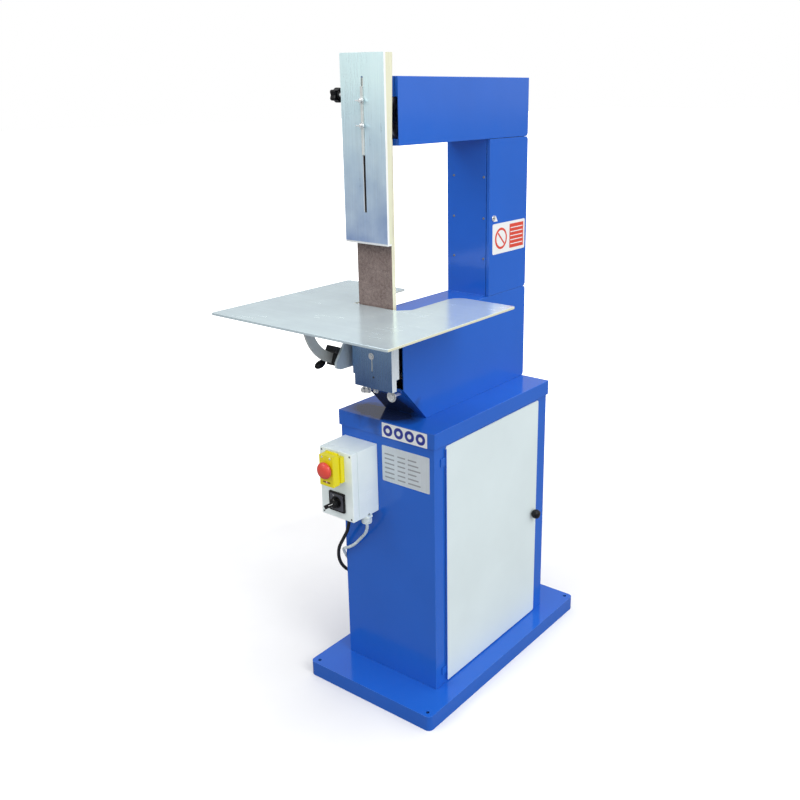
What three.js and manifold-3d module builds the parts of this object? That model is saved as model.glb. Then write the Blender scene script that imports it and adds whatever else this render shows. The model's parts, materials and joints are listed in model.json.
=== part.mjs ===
// Vertical belt grinder: a C-shaped sheet-metal frame on a floor cabinet carries an abrasive belt over
// four wheels, past a platen and through a tilting work table. Millimetres, +X to the operator's right,
// -Y towards the operator, +Z up. The origin is the middle of the base, on the floor.
import * as THREE from 'three';
import { mergeVertices } from 'three/addons/utils/BufferGeometryUtils.js';
import Module from 'manifold-3d';

const wasm = await Module();
wasm.setup();

// ---------------------------------------------------------------- driving dimensions

const GAP = 0.3; // clearance between two pieces that fit together

const BASE = { halfX: 200, halfY: 346, height: 40, sheet: 4, corner: 14, holeX: 181, holeY: 330, holeR: 5 };
const STIFFENER = { halfX: 170, halfY: 30, sheet: 3 };
const CABINET = { halfX: 145, halfY: 249, bottom: BASE.height + GAP, top: 724, sheet: 2, flange: 22 };
const CAP = { halfX: 149.5, halfY: 253, top: 727, skirt: 39, sheet: 2.5 };
const CABLE_ENTRY = { black: [-224, 264], grey: [-229, 294] }; // (y, z) in the cabinet's left wall
const DOORWAY = { halfY: 200, bottom: 52, top: 676 };
const DOOR = { halfY: 206, bottom: 44, top: 683, sheet: 2.2, corner: 6, knobY: 187, knobZ: 358 };

const FRAME = { halfX: 64.5, front: -257, back: 257, bottom: CAP.top + GAP, top: 1507.5, wall: 3 };
const THROAT = { back: 85.5, bottom: 978, top: 1365.5 }; // the open mouth of the C
const CHAMFER = { y: 83, z: 90 }; // cut-off lower front corner of the frame
const COVER = { inner: 56, sheet: 2.5, notch: 6, gap: 0.4, hingeX: 60.5 }; // side covers close the frame at +X
const SHELL_RIGHT = 54; // the welded shell stops here, short of the covers
const UPPER_WINDOW = { bottom: 1380, top: 1466 };
const LOWER_WINDOW = { bottom: 838, top: 962, cornerLeft: 40, cornerBottom: 819 };

const BELT = { halfX: 50, front: -273, back: 248, thickness: 1.4 };
const WHEEL = { halfX: 49, crown: 2, rim: 7, web: 5, hubR: 20, boreR: 8.5, gap: 0.5, sides: 22 };
const AXLE_R = 8.2;
const SHAFT_R = 12.5;

const onFront = (radius) => BELT.front + BELT.thickness + WHEEL.gap + radius;
const onBack = (radius) => BELT.back - BELT.thickness - WHEEL.gap - radius;
const UPPER_FRONT = { y: onFront(53), z: 1423.6, r: 53 };
const UPPER_REAR = { y: onBack(58), z: 1430, r: 58 };
const LOWER_FRONT = { y: onFront(60), z: 893, r: 60 };
const DRIVE = { y: onBack(70), z: 812, r: 70 };

const PULLEY = { left: -98, right: -82, boreR: SHAFT_R + GAP, depth: 6, flange: 3 };
const DRIVEN_PULLEY_R = 50;
const MOTOR_PULLEY_R = 40;
const MOTOR = { y: 105, z: 335, r: 72, left: -45, right: 95, fan: 33, shaftR: 12, feet: 255 };

const PLATEN = { front: -271.2, back: -260, bottom: 963, top: 1379 };
const GUARD = { halfX: 61, front: -297, sheet: 2, bottom: 1156, top: 1554, sideTop: 28.5, sideBottom: 13 };
const GUARD_SLOT = { halfX: 3.5, bottom: 1224, top: 1507 };
const GUARD_RAIL = { halfX: 3, front: -300, bottom: 1347, top: 1487 };
const GUARD_SCREWS = [1458, 1407];
const CASING = { halfX: 59.5, front: -292, sheet: 2, bottom: 820, step: 847, top: 940, side: 26 };
const CASING_SLOT = { halfX: 1.8, bottom: 860, top: 902, screw: 898 };

const TILT = { y: -277, z: 986 }; // axis the table tilts about
const TABLE = { halfX: 255, front: -531.5, back: -86, bottom: 19.3, top: 25 }; // z from the tilt axis
const NOTCH = { left: -66, right: 88, front: -276, chamfer: 24, round: 34 };
const ARC = { left: -110, right: -104, inner: 99, outer: 123 };
const PIVOT_R = 6;

const BOX = { x: -82, z: 574.5, halfX: 52, halfZ: 88, depth: 70, lid: 20, wall: 3 };
const ESTOP = { x: 3, z: 51, startZ: 29.5, front: -102.5 }; // from the middle of the box's back
const ESTOP_BASE = { left: -21, right: 28, bottom: 14, top: 79 };
const FLAP = { left: -19, right: 24, bottom: 9, top: 86, front: -125.5, wall: 2 };
const SWITCH = { x: 2, z: -44, halfX: 25 };

// ---------------------------------------------------------------- finishes

function paint(color, roughness, metalness) {
  return new THREE.MeshStandardMaterial({ color, roughness, metalness });
}
const BLUE = 0x2f66c4;
const WHITE = 0xd9e2e4;
const STEEL = 0xb9c3c8;
const BLACK = 0x17181a;

// ---------------------------------------------------------------- shape helpers

// A closed geometry as a solid, with its faces turned outwards.
function solid(geometry) {
  geometry.deleteAttribute('normal');
  geometry.deleteAttribute('uv');
  const merged = mergeVertices(geometry, 1e-4);
  const vertProperties = new Float32Array(merged.attributes.position.array);
  const triVerts = new Uint32Array(merged.index.array).filter((_, i, all) => !degenerate(all, i));
  if (signedVolume(vertProperties, triVerts) < 0) {
    triVerts.reverse();
  }
  return new wasm.Manifold(new wasm.Mesh({ numProp: 3, vertProperties, triVerts }));
}

function degenerate(all, i) {
  const [a, b, c] = all.slice(i - (i % 3), i - (i % 3) + 3);
  return a === b || b === c || c === a;
}

function signedVolume(positions, triangles) {
  const [a, b, c] = [new THREE.Vector3(), new THREE.Vector3(), new THREE.Vector3()];
  let volume = 0;
  for (let i = 0; i < triangles.length; i += 3) {
    a.fromArray(positions, 3 * triangles[i]);
    b.fromArray(positions, 3 * triangles[i + 1]);
    c.fromArray(positions, 3 * triangles[i + 2]);
    volume += a.dot(b.cross(c)) / 6;
  }
  return volume;
}

// Any number of solids joined into one.
function join(first, ...others) {
  return others.reduce((sum, next) => sum.add(next), first);
}

// A solid with any number of others cut away from it.
function cut(first, ...others) {
  return others.reduce((rest, next) => rest.subtract(next), first);
}

function block(x0, x1, y0, y1, z0, z1) {
  const geometry = new THREE.BoxGeometry(x1 - x0, y1 - y0, z1 - z0);
  geometry.translate((x0 + x1) / 2, (y0 + y1) / 2, (z0 + z1) / 2);
  return solid(geometry);
}

// Turns a geometry drawn round +Y to lie along the named axis, and moves it off the origin. The two
// offsets are the other two coordinates in x, y, z order.
function layAlong(geometry, axis, first, second) {
  if (axis === 'x') {
    geometry.rotateZ(-Math.PI / 2).translate(0, first, second);
  } else if (axis === 'y') {
    geometry.translate(first, 0, second);
  } else {
    geometry.rotateX(Math.PI / 2).translate(first, second, 0);
  }
  return geometry;
}

// A round bar along an axis, from one coordinate on it to another.
function rod(axis, radius, from, to, first = 0, second = 0, sides = 20) {
  const geometry = new THREE.CylinderGeometry(radius, radius, to - from, sides);
  geometry.translate(0, (from + to) / 2, 0);
  return solid(layAlong(geometry, axis, first, second));
}

// A turned piece: the profile is [radius, place along the axis] pairs.
function turned(axis, profile, first = 0, second = 0, sides = 24) {
  const points = profile.map(([radius, along]) => new THREE.Vector2(radius, along));
  return solid(layAlong(new THREE.LatheGeometry(points, sides), axis, first, second));
}

function asShape(outline) {
  if (outline instanceof THREE.Shape) {
    return outline;
  }
  return new THREE.Shape(outline.map(([u, v]) => new THREE.Vector2(u, v)));
}

function extrude(outline, depth, curveSegments) {
  return new THREE.ExtrudeGeometry(asShape(outline), { depth, curveSegments, bevelEnabled: false });
}

// Plates drawn in (y, z), (x, z) or (x, y) and given thickness along the third axis.
function plateX(outline, x0, x1, curveSegments = 6) {
  const geometry = extrude(outline, x1 - x0, curveSegments);
  const turn = new THREE.Matrix4().makeBasis(
    new THREE.Vector3(0, 1, 0),
    new THREE.Vector3(0, 0, 1),
    new THREE.Vector3(1, 0, 0),
  );
  return solid(geometry.applyMatrix4(turn).translate(x0, 0, 0));
}

function plateY(outline, y0, y1, curveSegments = 6) {
  return solid(extrude(outline, y1 - y0, curveSegments).rotateX(Math.PI / 2).translate(0, y1, 0));
}

function plateZ(outline, z0, z1, curveSegments = 6) {
  return solid(extrude(outline, z1 - z0, curveSegments).translate(0, 0, z0));
}

function roundedRectangle(u0, u1, v0, v1, r) {
  const shape = new THREE.Shape();
  shape.absarc(u1 - r, v0 + r, r, -Math.PI / 2, 0);
  shape.absarc(u1 - r, v1 - r, r, 0, Math.PI / 2);
  shape.absarc(u0 + r, v1 - r, r, Math.PI / 2, Math.PI);
  shape.absarc(u0 + r, v0 + r, r, Math.PI, 1.5 * Math.PI);
  shape.closePath();
  return shape;
}

// An anticlockwise outline with every side moved inwards by the same distance.
function inset(outline, distance) {
  const points = outline.map(([u, v]) => new THREE.Vector2(u, v));
  return points.map((point, i) => {
    const inwardBefore = inwardNormal(points.at(i - 1), point);
    const inwardAfter = inwardNormal(point, points[(i + 1) % points.length]);
    const scale = distance / (1 + inwardBefore.dot(inwardAfter));
    return [
      point.x + scale * (inwardBefore.x + inwardAfter.x),
      point.y + scale * (inwardBefore.y + inwardAfter.y),
    ];
  });
}

function inwardNormal(from, to) {
  const along = to.clone().sub(from).normalize();
  return new THREE.Vector2(-along.y, along.x);
}

// A ring sector in a plane, round the origin, between two angles in degrees.
function ringSector(inner, outer, from, to) {
  const [start, end] = [THREE.MathUtils.degToRad(from), THREE.MathUtils.degToRad(to)];
  const shape = new THREE.Shape();
  shape.absarc(0, 0, outer, start, end, false);
  shape.absarc(0, 0, inner, end, start, true);
  shape.closePath();
  return shape;
}

// The outline of a band run tightly round circles given anticlockwise in the (y, z) plane.
function bandOutline(circles, offset) {
  const shape = new THREE.Shape();
  const count = circles.length;
  const tangent = circles.map((circle, i) => {
    const next = circles[(i + 1) % count];
    const [dy, dz] = [next.y - circle.y, next.z - circle.z];
    return Math.atan2(dz, dy) - Math.acos((circle.r - next.r) / Math.hypot(dy, dz));
  });
  circles.forEach((circle, i) => {
    const from = tangent[(i + count - 1) % count];
    shape.absarc(circle.y, circle.z, circle.r + offset, from, tangent[i], false);
  });
  shape.closePath();
  return shape;
}

function band(circles, clearance, thickness, x0, x1, curveSegments) {
  const outer = plateX(bandOutline(circles, clearance + thickness), x0, x1, curveSegments);
  const inner = plateX(bandOutline(circles, clearance), x0 - 1, x1 + 1, curveSegments);
  return outer.subtract(inner);
}

// A round cord along a smooth path through the given points.
function cord(points, radius, steps) {
  const path = new THREE.CatmullRomCurve3(points.map((point) => new THREE.Vector3(...point)));
  const circle = new THREE.Shape();
  circle.absarc(0, 0, radius, 0, 2 * Math.PI);
  return solid(new THREE.ExtrudeGeometry(circle, { extrudePath: path, steps, curveSegments: 5 }));
}

// A named mesh from a solid.
function piece(name, body, material) {
  const mesh = body.getMesh();
  const geometry = new THREE.BufferGeometry();
  geometry.setAttribute('position', new THREE.BufferAttribute(mesh.vertProperties, 3));
  geometry.setIndex(new THREE.BufferAttribute(mesh.triVerts, 1));
  geometry.computeVertexNormals();
  const result = new THREE.Mesh(geometry, material);
  result.name = name;
  return result;
}

function assembly(...children) {
  const result = new THREE.Group();
  result.add(...children);
  return result;
}

// ---------------------------------------------------------------- floor stand

function baseTray() {
  const { halfX, halfY, height, sheet, corner, holeX, holeY, holeR } = BASE;
  const [insideX, insideY] = [halfX - sheet, halfY - sheet];
  const tray = cut(
    plateZ(roundedRectangle(-halfX, halfX, -halfY, halfY, corner), 0, height, 4),
    plateZ(roundedRectangle(-insideX, insideX, -insideY, insideY, corner - sheet), -1, height - sheet, 4),
  );
  const rib = cut(
    block(-STIFFENER.halfX, STIFFENER.halfX, -STIFFENER.halfY, STIFFENER.halfY, 0, height - 1),
    block(
      -STIFFENER.halfX - 1, STIFFENER.halfX + 1,
      STIFFENER.sheet - STIFFENER.halfY, STIFFENER.halfY - STIFFENER.sheet,
      STIFFENER.sheet, height - sheet,
    ),
  );
  const corners = [[-1, -1], [-1, 1], [1, -1], [1, 1]];
  const holes = corners.map(([sideX, sideY]) => rod('z', holeR, 0, 50, sideX * holeX, sideY * holeY, 12));
  return cut(join(tray, rib), ...holes);
}

function cabinetBody() {
  const { halfX, halfY, bottom, top, sheet, flange } = CABINET;
  const shell = cut(
    block(-halfX, halfX, -halfY, halfY, bottom, top),
    block(sheet - halfX, halfX - sheet, sheet - halfY, halfY - sheet, bottom + sheet, top - sheet),
    block(flange - halfX, halfX - flange, flange - halfY, halfY - flange, bottom - 1, top + 1),
  );
  return cut(
    shell,
    block(halfX - 10, halfX + 1, -DOORWAY.halfY, DOORWAY.halfY, DOORWAY.bottom, DOORWAY.top),
    rod('x', 9, -halfX - 1, 5 - halfX, ...CABLE_ENTRY.black, 12),
    rod('x', 9, -halfX - 1, 5 - halfX, ...CABLE_ENTRY.grey, 12),
  );
}

function cabinetCap() {
  const { halfX, halfY, top, skirt, sheet } = CAP;
  return cut(
    block(-halfX, halfX, -halfY, halfY, top - skirt, top),
    block(sheet - halfX, halfX - sheet, sheet - halfY, halfY - sheet, top - skirt - 1, top - sheet),
    block(-101, -79, 100, 228, top - 5, top + 1),
  );
}

function cabinetDoor() {
  const inside = CABINET.halfX + GAP;
  const leaf = plateX(
    roundedRectangle(-DOOR.halfY, DOOR.halfY, DOOR.bottom, DOOR.top, DOOR.corner),
    inside, inside + DOOR.sheet, 3,
  );
  const rim = cut(
    block(inside - 12, inside + 1, -175, 175, 62, 666),
    block(inside - 13, inside, -173.5, 173.5, 63.5, 664.5),
  );
  return cut(join(leaf, rim), rod('x', 4.3, 140, 150, DOOR.knobY, DOOR.knobZ, 16));
}

// A pin beside a hinged edge, with two leaves that hold it to the fixed wall.
function hingePin(x, y, bottom, top, leaf) {
  const leaves = [bottom + 20, top - 40].map((z) => block(...leaf, z, z + 20));
  return join(rod('z', 1.8, bottom, top, x, y, 10), ...leaves);
}

// The knob's shaft passes the door. Its tongue stands upright, and a quarter turn puts it behind the
// doorway's edge.
function doorKnob() {
  const profile = [
    [0, 141], [4, 141], [4, 149], [7, 151], [12, 155],
    [13, 161], [11, 168], [6, 171], [0, 171.5],
  ];
  const head = turned('x', profile, DOOR.knobY, DOOR.knobZ, 20);
  return join(head, block(139, 142.4, DOOR.knobY - 6, DOOR.knobY + 6, DOOR.knobZ - 6, DOOR.knobZ + 25));
}

function stand() {
  const doorHinge = hingePin(148.7, -208.6, 50, 677, [145.3, 147.6, -226, -208.6]);
  return assembly(
    piece('base_tray', baseTray(), paint(BLUE, 0.35, 0.1)),
    piece('cabinet_body', cabinetBody(), paint(BLUE, 0.35, 0.1)),
    piece('cabinet_cap', cabinetCap(), paint(BLUE, 0.35, 0.1)),
    piece('cabinet_door', cabinetDoor(), paint(WHITE, 0.4, 0)),
    piece('door_hinge_pin', doorHinge, paint(BLUE, 0.35, 0.1)),
    piece('door_knob', doorKnob(), paint(BLACK, 0.4, 0)),
  );
}

// ---------------------------------------------------------------- C-frame

function frameOutline() {
  const { front, back, bottom, top } = FRAME;
  return [
    [front + CHAMFER.y, bottom],
    [back, bottom],
    [back, top],
    [front, top],
    [front, THROAT.top],
    [THROAT.back, THROAT.top],
    [THROAT.back, THROAT.bottom],
    [front, THROAT.bottom],
    [front, bottom + CHAMFER.z],
  ];
}

function frameShell() {
  const left = -FRAME.halfX;
  const inside = left + FRAME.wall;
  const shell = cut(
    plateX(frameOutline(), left, SHELL_RIGHT),
    plateX(inset(frameOutline(), FRAME.wall), inside, SHELL_RIGHT + 1),
    block(-54, SHELL_RIGHT + 1, FRAME.front - 1, FRAME.front + 4, UPPER_WINDOW.bottom, UPPER_WINDOW.top),
    block(-54, SHELL_RIGHT + 1, FRAME.front - 1, FRAME.front + 4, LOWER_WINDOW.bottom, LOWER_WINDOW.top),
    block(
      LOWER_WINDOW.cornerLeft, SHELL_RIGHT + 1,
      FRAME.front - 1, FRAME.front + 4,
      LOWER_WINDOW.cornerBottom, LOWER_WINDOW.bottom + 1,
    ),
    rod('x', 15, left - 1, inside + 1, UPPER_FRONT.y, UPPER_FRONT.z),
    rod('x', WHEEL.boreR, left - 1, inside + 1, LOWER_FRONT.y, LOWER_FRONT.z),
    rod('x', 22.5, left - 1, inside + 1, DRIVE.y, DRIVE.z),
  );
  return join(shell, ...tensionGuides(inside), ...trackingLugs(left), latchKeeper());
}

// Rails on the inside of the left wall, with the cross plate that the tension lever's pin is fixed to.
function tensionGuides(inside) {
  const root = inside - 1;
  const rails = [UPPER_REAR.y - 34, UPPER_REAR.y + 28].map((y) => block(root, -52, y, y + 6, 1290, 1500));
  const pin = rod('x', 6, root, -30, UPPER_REAR.y, TENSION.leverZ, 16);
  return [...rails, pin];
}

function trackingLugs(left) {
  return [-257, -193].map((y) => cut(
    block(-88, left + 1, y, y + 6, 1397, 1419),
    rod('y', 4.3, y - 1, y + 7, TRACKING.x, TRACKING.z, 12),
  ));
}

function latchKeeper() {
  return block(SHELL_RIGHT - 3, SHELL_RIGHT, THROAT.back + 1, THROAT.back + 10.5, 1150, 1196);
}

// A side cover is a shallow tray: a flat sheet with a rim turned in along its edges.
function coverTray(outline) {
  return cut(
    plateX(outline, COVER.inner, FRAME.halfX),
    plateX(inset(outline, COVER.sheet), COVER.inner - 1, FRAME.halfX - COVER.sheet),
  );
}

function armCover() {
  const [bottom, back, notch] = [THROAT.top + COVER.gap, FRAME.back, COVER.notch];
  const tray = coverTray([
    [FRAME.front, bottom],
    [back - notch, bottom],
    [back, bottom + notch],
    [back, FRAME.top],
    [FRAME.front, FRAME.top],
  ]);
  return cut(tray, windowInRim(UPPER_WINDOW.bottom, UPPER_WINDOW.top));
}

function columnCover() {
  const [bottom, top] = [THROAT.bottom + COVER.gap, THROAT.top - COVER.gap];
  const [back, notch] = [FRAME.back, COVER.notch];
  const tray = coverTray([
    [THROAT.back, bottom],
    [back - notch, bottom],
    [back, bottom + notch],
    [back, top - notch],
    [back - notch, top],
    [THROAT.back, top],
  ]);
  return cut(tray, rod('x', 4.3, COVER.inner, 70, LATCH.y, LATCH.z, 16));
}

function lowerCover() {
  const [bottom, top] = [FRAME.bottom, THROAT.bottom - COVER.gap];
  const [back, notch] = [FRAME.back, COVER.notch];
  const tray = coverTray([
    [FRAME.front + CHAMFER.y, bottom],
    [back - notch, bottom],
    [back, bottom + notch],
    [back, top - notch],
    [back - notch, top],
    [FRAME.front, top],
    [FRAME.front, bottom + CHAMFER.z],
  ]);
  return cut(tray, windowInRim(LOWER_WINDOW.cornerBottom, LOWER_WINDOW.top));
}

// The belt windows run out to the covers, so the rim is cut away in front of them.
function windowInRim(bottom, top) {
  return block(COVER.inner - 1, FRAME.halfX - COVER.sheet, FRAME.front - 1, FRAME.front + 4, bottom, top);
}

const LATCH = { y: 103, z: 1173 };

// A quarter-turn lock. Its tongue stands upright, and a turn puts it behind the keeper on the column's
// front wall.
function coverLatch() {
  const profile = [[0, 46], [4, 46], [4, 64.8], [7, 64.8], [7, 66.5], [0, 66.5]];
  const barrel = turned('x', profile, LATCH.y, LATCH.z, 16);
  return cut(
    join(barrel, block(46, 50.6, LATCH.y - 4.5, LATCH.y + 4.5, LATCH.z - 4.5, LATCH.z + 12)),
    block(66, 67, LATCH.y - 5, LATCH.y + 5, LATCH.z - 0.8, LATCH.z + 0.8),
  );
}

function cFrame() {
  const leaf = [30, COVER.hingeX, 257.3, 259.2];
  const hinge = (bottom, top) => hingePin(COVER.hingeX, 259.2, bottom, top, leaf);
  return assembly(
    piece('frame_shell', frameShell(), paint(BLUE, 0.35, 0.1)),
    piece('arm_cover', armCover(), paint(BLUE, 0.35, 0.1)),
    piece('column_cover', columnCover(), paint(BLUE, 0.35, 0.1)),
    piece('lower_cover', lowerCover(), paint(BLUE, 0.35, 0.1)),
    piece('arm_hinge_pin', hinge(1374, 1502), paint(BLUE, 0.35, 0.1)),
    piece('column_hinge_pin', hinge(990, 1354), paint(BLUE, 0.35, 0.1)),
    piece('lower_hinge_pin', hinge(738, 968), paint(BLUE, 0.35, 0.1)),
    piece('cover_latch', coverLatch(), paint(STEEL, 0.3, 0.9)),
  );
}

// ---------------------------------------------------------------- wheels, tracking and tension

// A crowned wheel: a rim joined to its hub by a web, turned round X about its own middle.
function wheel(radius, boreR, hubFrom, hubTo) {
  const { halfX, crown, rim, web, hubR, sides } = WHEEL;
  return turned('x', [
    [boreR, hubFrom], [hubR, hubFrom], [hubR, -web], [radius - rim, -web],
    [radius - rim, -halfX], [radius - crown, -halfX], [radius, -halfX / 3], [radius, halfX / 3],
    [radius - crown, halfX], [radius - rim, halfX], [radius - rim, web], [hubR, web],
    [hubR, hubTo], [boreR, hubTo], [boreR, hubFrom],
  ], 0, 0, sides);
}

function placed(mesh, { y, z }) {
  mesh.position.set(0, y, z);
  return mesh;
}

const TRACKING = { x: -80, z: 1408, knobY: -240, knobZ: 1468, left: -96, right: -67.5 };

function upperFrontAxle() {
  return turned('x', [[0, -114], [AXLE_R, -114], [AXLE_R, -26], [12, -26], [12, -18.5],
    [AXLE_R, -18.5], [AXLE_R, 18.5], [12, 18.5], [12, 24], [0, 24]], 0, 0, 20);
}

// The tracking block rocks on two stub pins and carries the upper front axle in its round boss.
function trackingBlock() {
  const { x, z, left, right, knobY, knobZ } = TRACKING;
  const body = join(
    block(left, right, -250, -194, z - 6, 1488),
    rod('x', 21, -113, left + 1, UPPER_FRONT.y, UPPER_FRONT.z, 28),
    rod('y', 4, -256.5, -187.5, x, z, 12),
  );
  return cut(
    body,
    rod('x', AXLE_R + GAP, -114, right + 1, UPPER_FRONT.y, UPPER_FRONT.z),
    rod('x', 5.4, left - 1, right + 1, knobY, knobZ, 16),
  );
}

// A five-lobed star on a screw that bears on the frame's wall, drawn round its own axis.
function trackingKnob() {
  const points = Array.from({ length: 40 }, (_, i) => {
    const angle = (i / 40) * 2 * Math.PI;
    const radius = 14.6 + 2.2 * Math.cos(5 * angle);
    return [radius * Math.cos(angle), radius * Math.sin(angle)];
  });
  return join(
    plateX(points, -136, -120),
    rod('x', 9, -120.5, -116.5, 0, 0, 16),
    rod('x', 5, -117, -FRAME.halfX - 1.2, 0, 0, 16),
  );
}

const TENSION = { x: -52, leverZ: 1240, lift: 34, drop: 16, slideBottom: 1386, seat: 1302 };

// The rear wheel's stub axle stands on a plate that slides between the rails.
function tensionSlide() {
  const { y, z } = UPPER_REAR;
  const axle = turned('x', [[0, -54], [13, -54], [13, -18.5], [AXLE_R, -18.5],
    [AXLE_R, 18.5], [12, 18.5], [12, 24], [0, 24]], y, z, 20);
  const rodFoot = TENSION.leverZ + TENSION.lift + 0.6;
  return join(
    block(-61.2, -53, y - 27.5, y + 27.5, TENSION.slideBottom, 1474),
    axle,
    block(TENSION.x - 4, TENSION.x + 4, y - 10, y + 10, TENSION.seat - 6, TENSION.seat),
    plateX([[y, rodFoot], [y + 4, rodFoot + 4], [y + 4, TENSION.slideBottom + 1],
      [y - 4, TENSION.slideBottom + 1], [y - 4, rodFoot + 4]], TENSION.x - 3, TENSION.x + 3),
  );
}

// A square-section coil round the push rod, between its seat and the slide.
function tensionSpring() {
  const turns = 6;
  const [bottom, top] = [TENSION.seat + 2, TENSION.slideBottom - 2];
  class Helix extends THREE.Curve {
    getPoint(t) {
      const angle = 2 * Math.PI * turns * t;
      const [x, y] = [TENSION.x + 7 * Math.cos(angle), 7 * Math.sin(angle)];
      return new THREE.Vector3(x, y, bottom + (top - bottom) * t);
    }
  }
  const wire = new THREE.Shape();
  wire.absarc(0, 0, 1.1, 0, 2 * Math.PI);
  return solid(new THREE.ExtrudeGeometry(wire, { extrudePath: new Helix(), steps: 60, curveSegments: 2 }));
}

// A cam lever. Its outline falls evenly with the turn, so the push rod drops in step with it.
function tensionLever() {
  const { lift, drop } = TENSION;
  const polar = (radius, degrees) => {
    const angle = THREE.MathUtils.degToRad(degrees);
    return [radius * Math.cos(angle), radius * Math.sin(angle)];
  };
  const cam = Array.from({ length: 12 }, (_, i) => 10 * (i - 1)).map(
    (turn) => polar(lift - drop * Math.max(0, turn) / 90, 90 + turn),
  );
  const heel = Array.from({ length: 7 }, (_, i) => polar(13, 215 + 30 * i));
  return cut(
    join(
      plateX([...cam, ...heel], -58, -48),
      block(-54, -48, -6, 6, -60, 0),
      rod('z', 9, -86, -58, -44, 0, 16),
      block(-54, -44, -6, 6, -66, -56),
    ),
    rod('x', 6.3, -60, -40, 0, 0, 16),
  );
}

function lowerFrontAxle() {
  return turned('x', [[0, -71], [13, -71], [13, -64.8], [AXLE_R, -64.8], [AXLE_R, -61.2],
    [18, -61.2], [18, -52], [12, -52], [12, -18.5], [AXLE_R, -18.5],
    [AXLE_R, 18.5], [12, 18.5], [12, 24], [0, 24]], 0, 0, 20);
}

function runningGear() {
  const spring = piece('tension_spring', tensionSpring(), paint(STEEL, 0.35, 0.9));
  spring.position.y = UPPER_REAR.y;
  const lever = piece('tension_lever', tensionLever(), paint(BLACK, 0.5, 0.2));
  const knob = piece('tracking_knob', trackingKnob(), paint(BLACK, 0.5, 0));
  const idler = (radius) => wheel(radius, WHEEL.boreR, -18, 18);
  return assembly(
    placed(piece('upper_front_wheel', idler(UPPER_FRONT.r), paint(STEEL, 0.4, 0.8)), UPPER_FRONT),
    placed(piece('upper_front_axle', upperFrontAxle(), paint(STEEL, 0.3, 0.9)), UPPER_FRONT),
    piece('tracking_block', trackingBlock(), paint(BLACK, 0.5, 0.2)),
    placed(knob, { y: TRACKING.knobY, z: TRACKING.knobZ }),
    placed(piece('upper_rear_wheel', idler(UPPER_REAR.r), paint(STEEL, 0.4, 0.8)), UPPER_REAR),
    piece('tension_slide', tensionSlide(), paint(STEEL, 0.4, 0.8)),
    spring,
    placed(lever, { y: UPPER_REAR.y, z: TENSION.leverZ }),
    placed(piece('lower_front_wheel', idler(LOWER_FRONT.r), paint(STEEL, 0.4, 0.8)), LOWER_FRONT),
    placed(piece('lower_front_axle', lowerFrontAxle(), paint(STEEL, 0.3, 0.9)), LOWER_FRONT),
  );
}

// ---------------------------------------------------------------- drive

function driveShaft() {
  return turned('x', [[0, -102], [SHAFT_R, -102], [SHAFT_R, 22.5], [17, 22.5], [17, 28], [0, 28]]);
}

function bearingHousing() {
  return turned('x', [[SHAFT_R + GAP, -78], [26, -78], [26, -74], [40, -74], [40, -64.8],
    [22, -64.8], [22, -22], [SHAFT_R + GAP, -22], [SHAFT_R + GAP, -78]]);
}

function pulley(radius, boreR) {
  const { left, right, depth, flange } = PULLEY;
  const groove = radius - depth;
  return turned('x', [
    [boreR, left], [radius, left], [radius, left + flange], [groove, left + flange],
    [groove, right - flange], [radius, right - flange], [radius, right], [boreR, right], [boreR, left],
  ], 0, 0, 28);
}

function vBelt() {
  const circles = [
    { y: MOTOR.y, z: MOTOR.z, r: MOTOR_PULLEY_R - PULLEY.depth },
    { y: DRIVE.y, z: DRIVE.z, r: DRIVEN_PULLEY_R - PULLEY.depth },
  ];
  return band(circles, 0.6, 8, PULLEY.left + PULLEY.flange + 0.4, PULLEY.right - PULLEY.flange - 0.4, 12);
}

function pulleyGuard() {
  const [front, back] = [DRIVE.y - 80, DRIVE.y + 73];
  return cut(
    block(-116, -64.9, front, back, FRAME.bottom, 885),
    block(-114, -64, front + 2, back - 2, FRAME.bottom - 1, 883),
  );
}

function motorBody() {
  const { r, left, right, fan } = MOTOR;
  const centre = MOTOR.feet - MOTOR.z;
  return cut(
    join(
      rod('x', r, left, right, 0, 0, 28),
      rod('x', r + 3, right - 1, right + fan, 0, 0, 28),
      rod('x', r + 3, left, left + 12, 0, 0, 28),
      block(-20, 80, -62, 62, centre, centre + 22),
      block(-5, 75, -40, 40, r - 8, r + 24),
    ),
    rod('x', MOTOR.shaftR + GAP, left - 1, 40),
  );
}

function motorShaft() {
  return rod('x', MOTOR.shaftR, -100, 38);
}

// A folded stand: a deck for the motor's feet on two legs.
function motorStand() {
  const deck = MOTOR.feet - GAP;
  return cut(
    block(-36, 96, MOTOR.y - 70, MOTOR.y + 70, CABINET.bottom, deck),
    block(-32, 92, MOTOR.y - 71, MOTOR.y + 71, CABINET.bottom - 1, deck - 4),
  );
}

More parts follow.
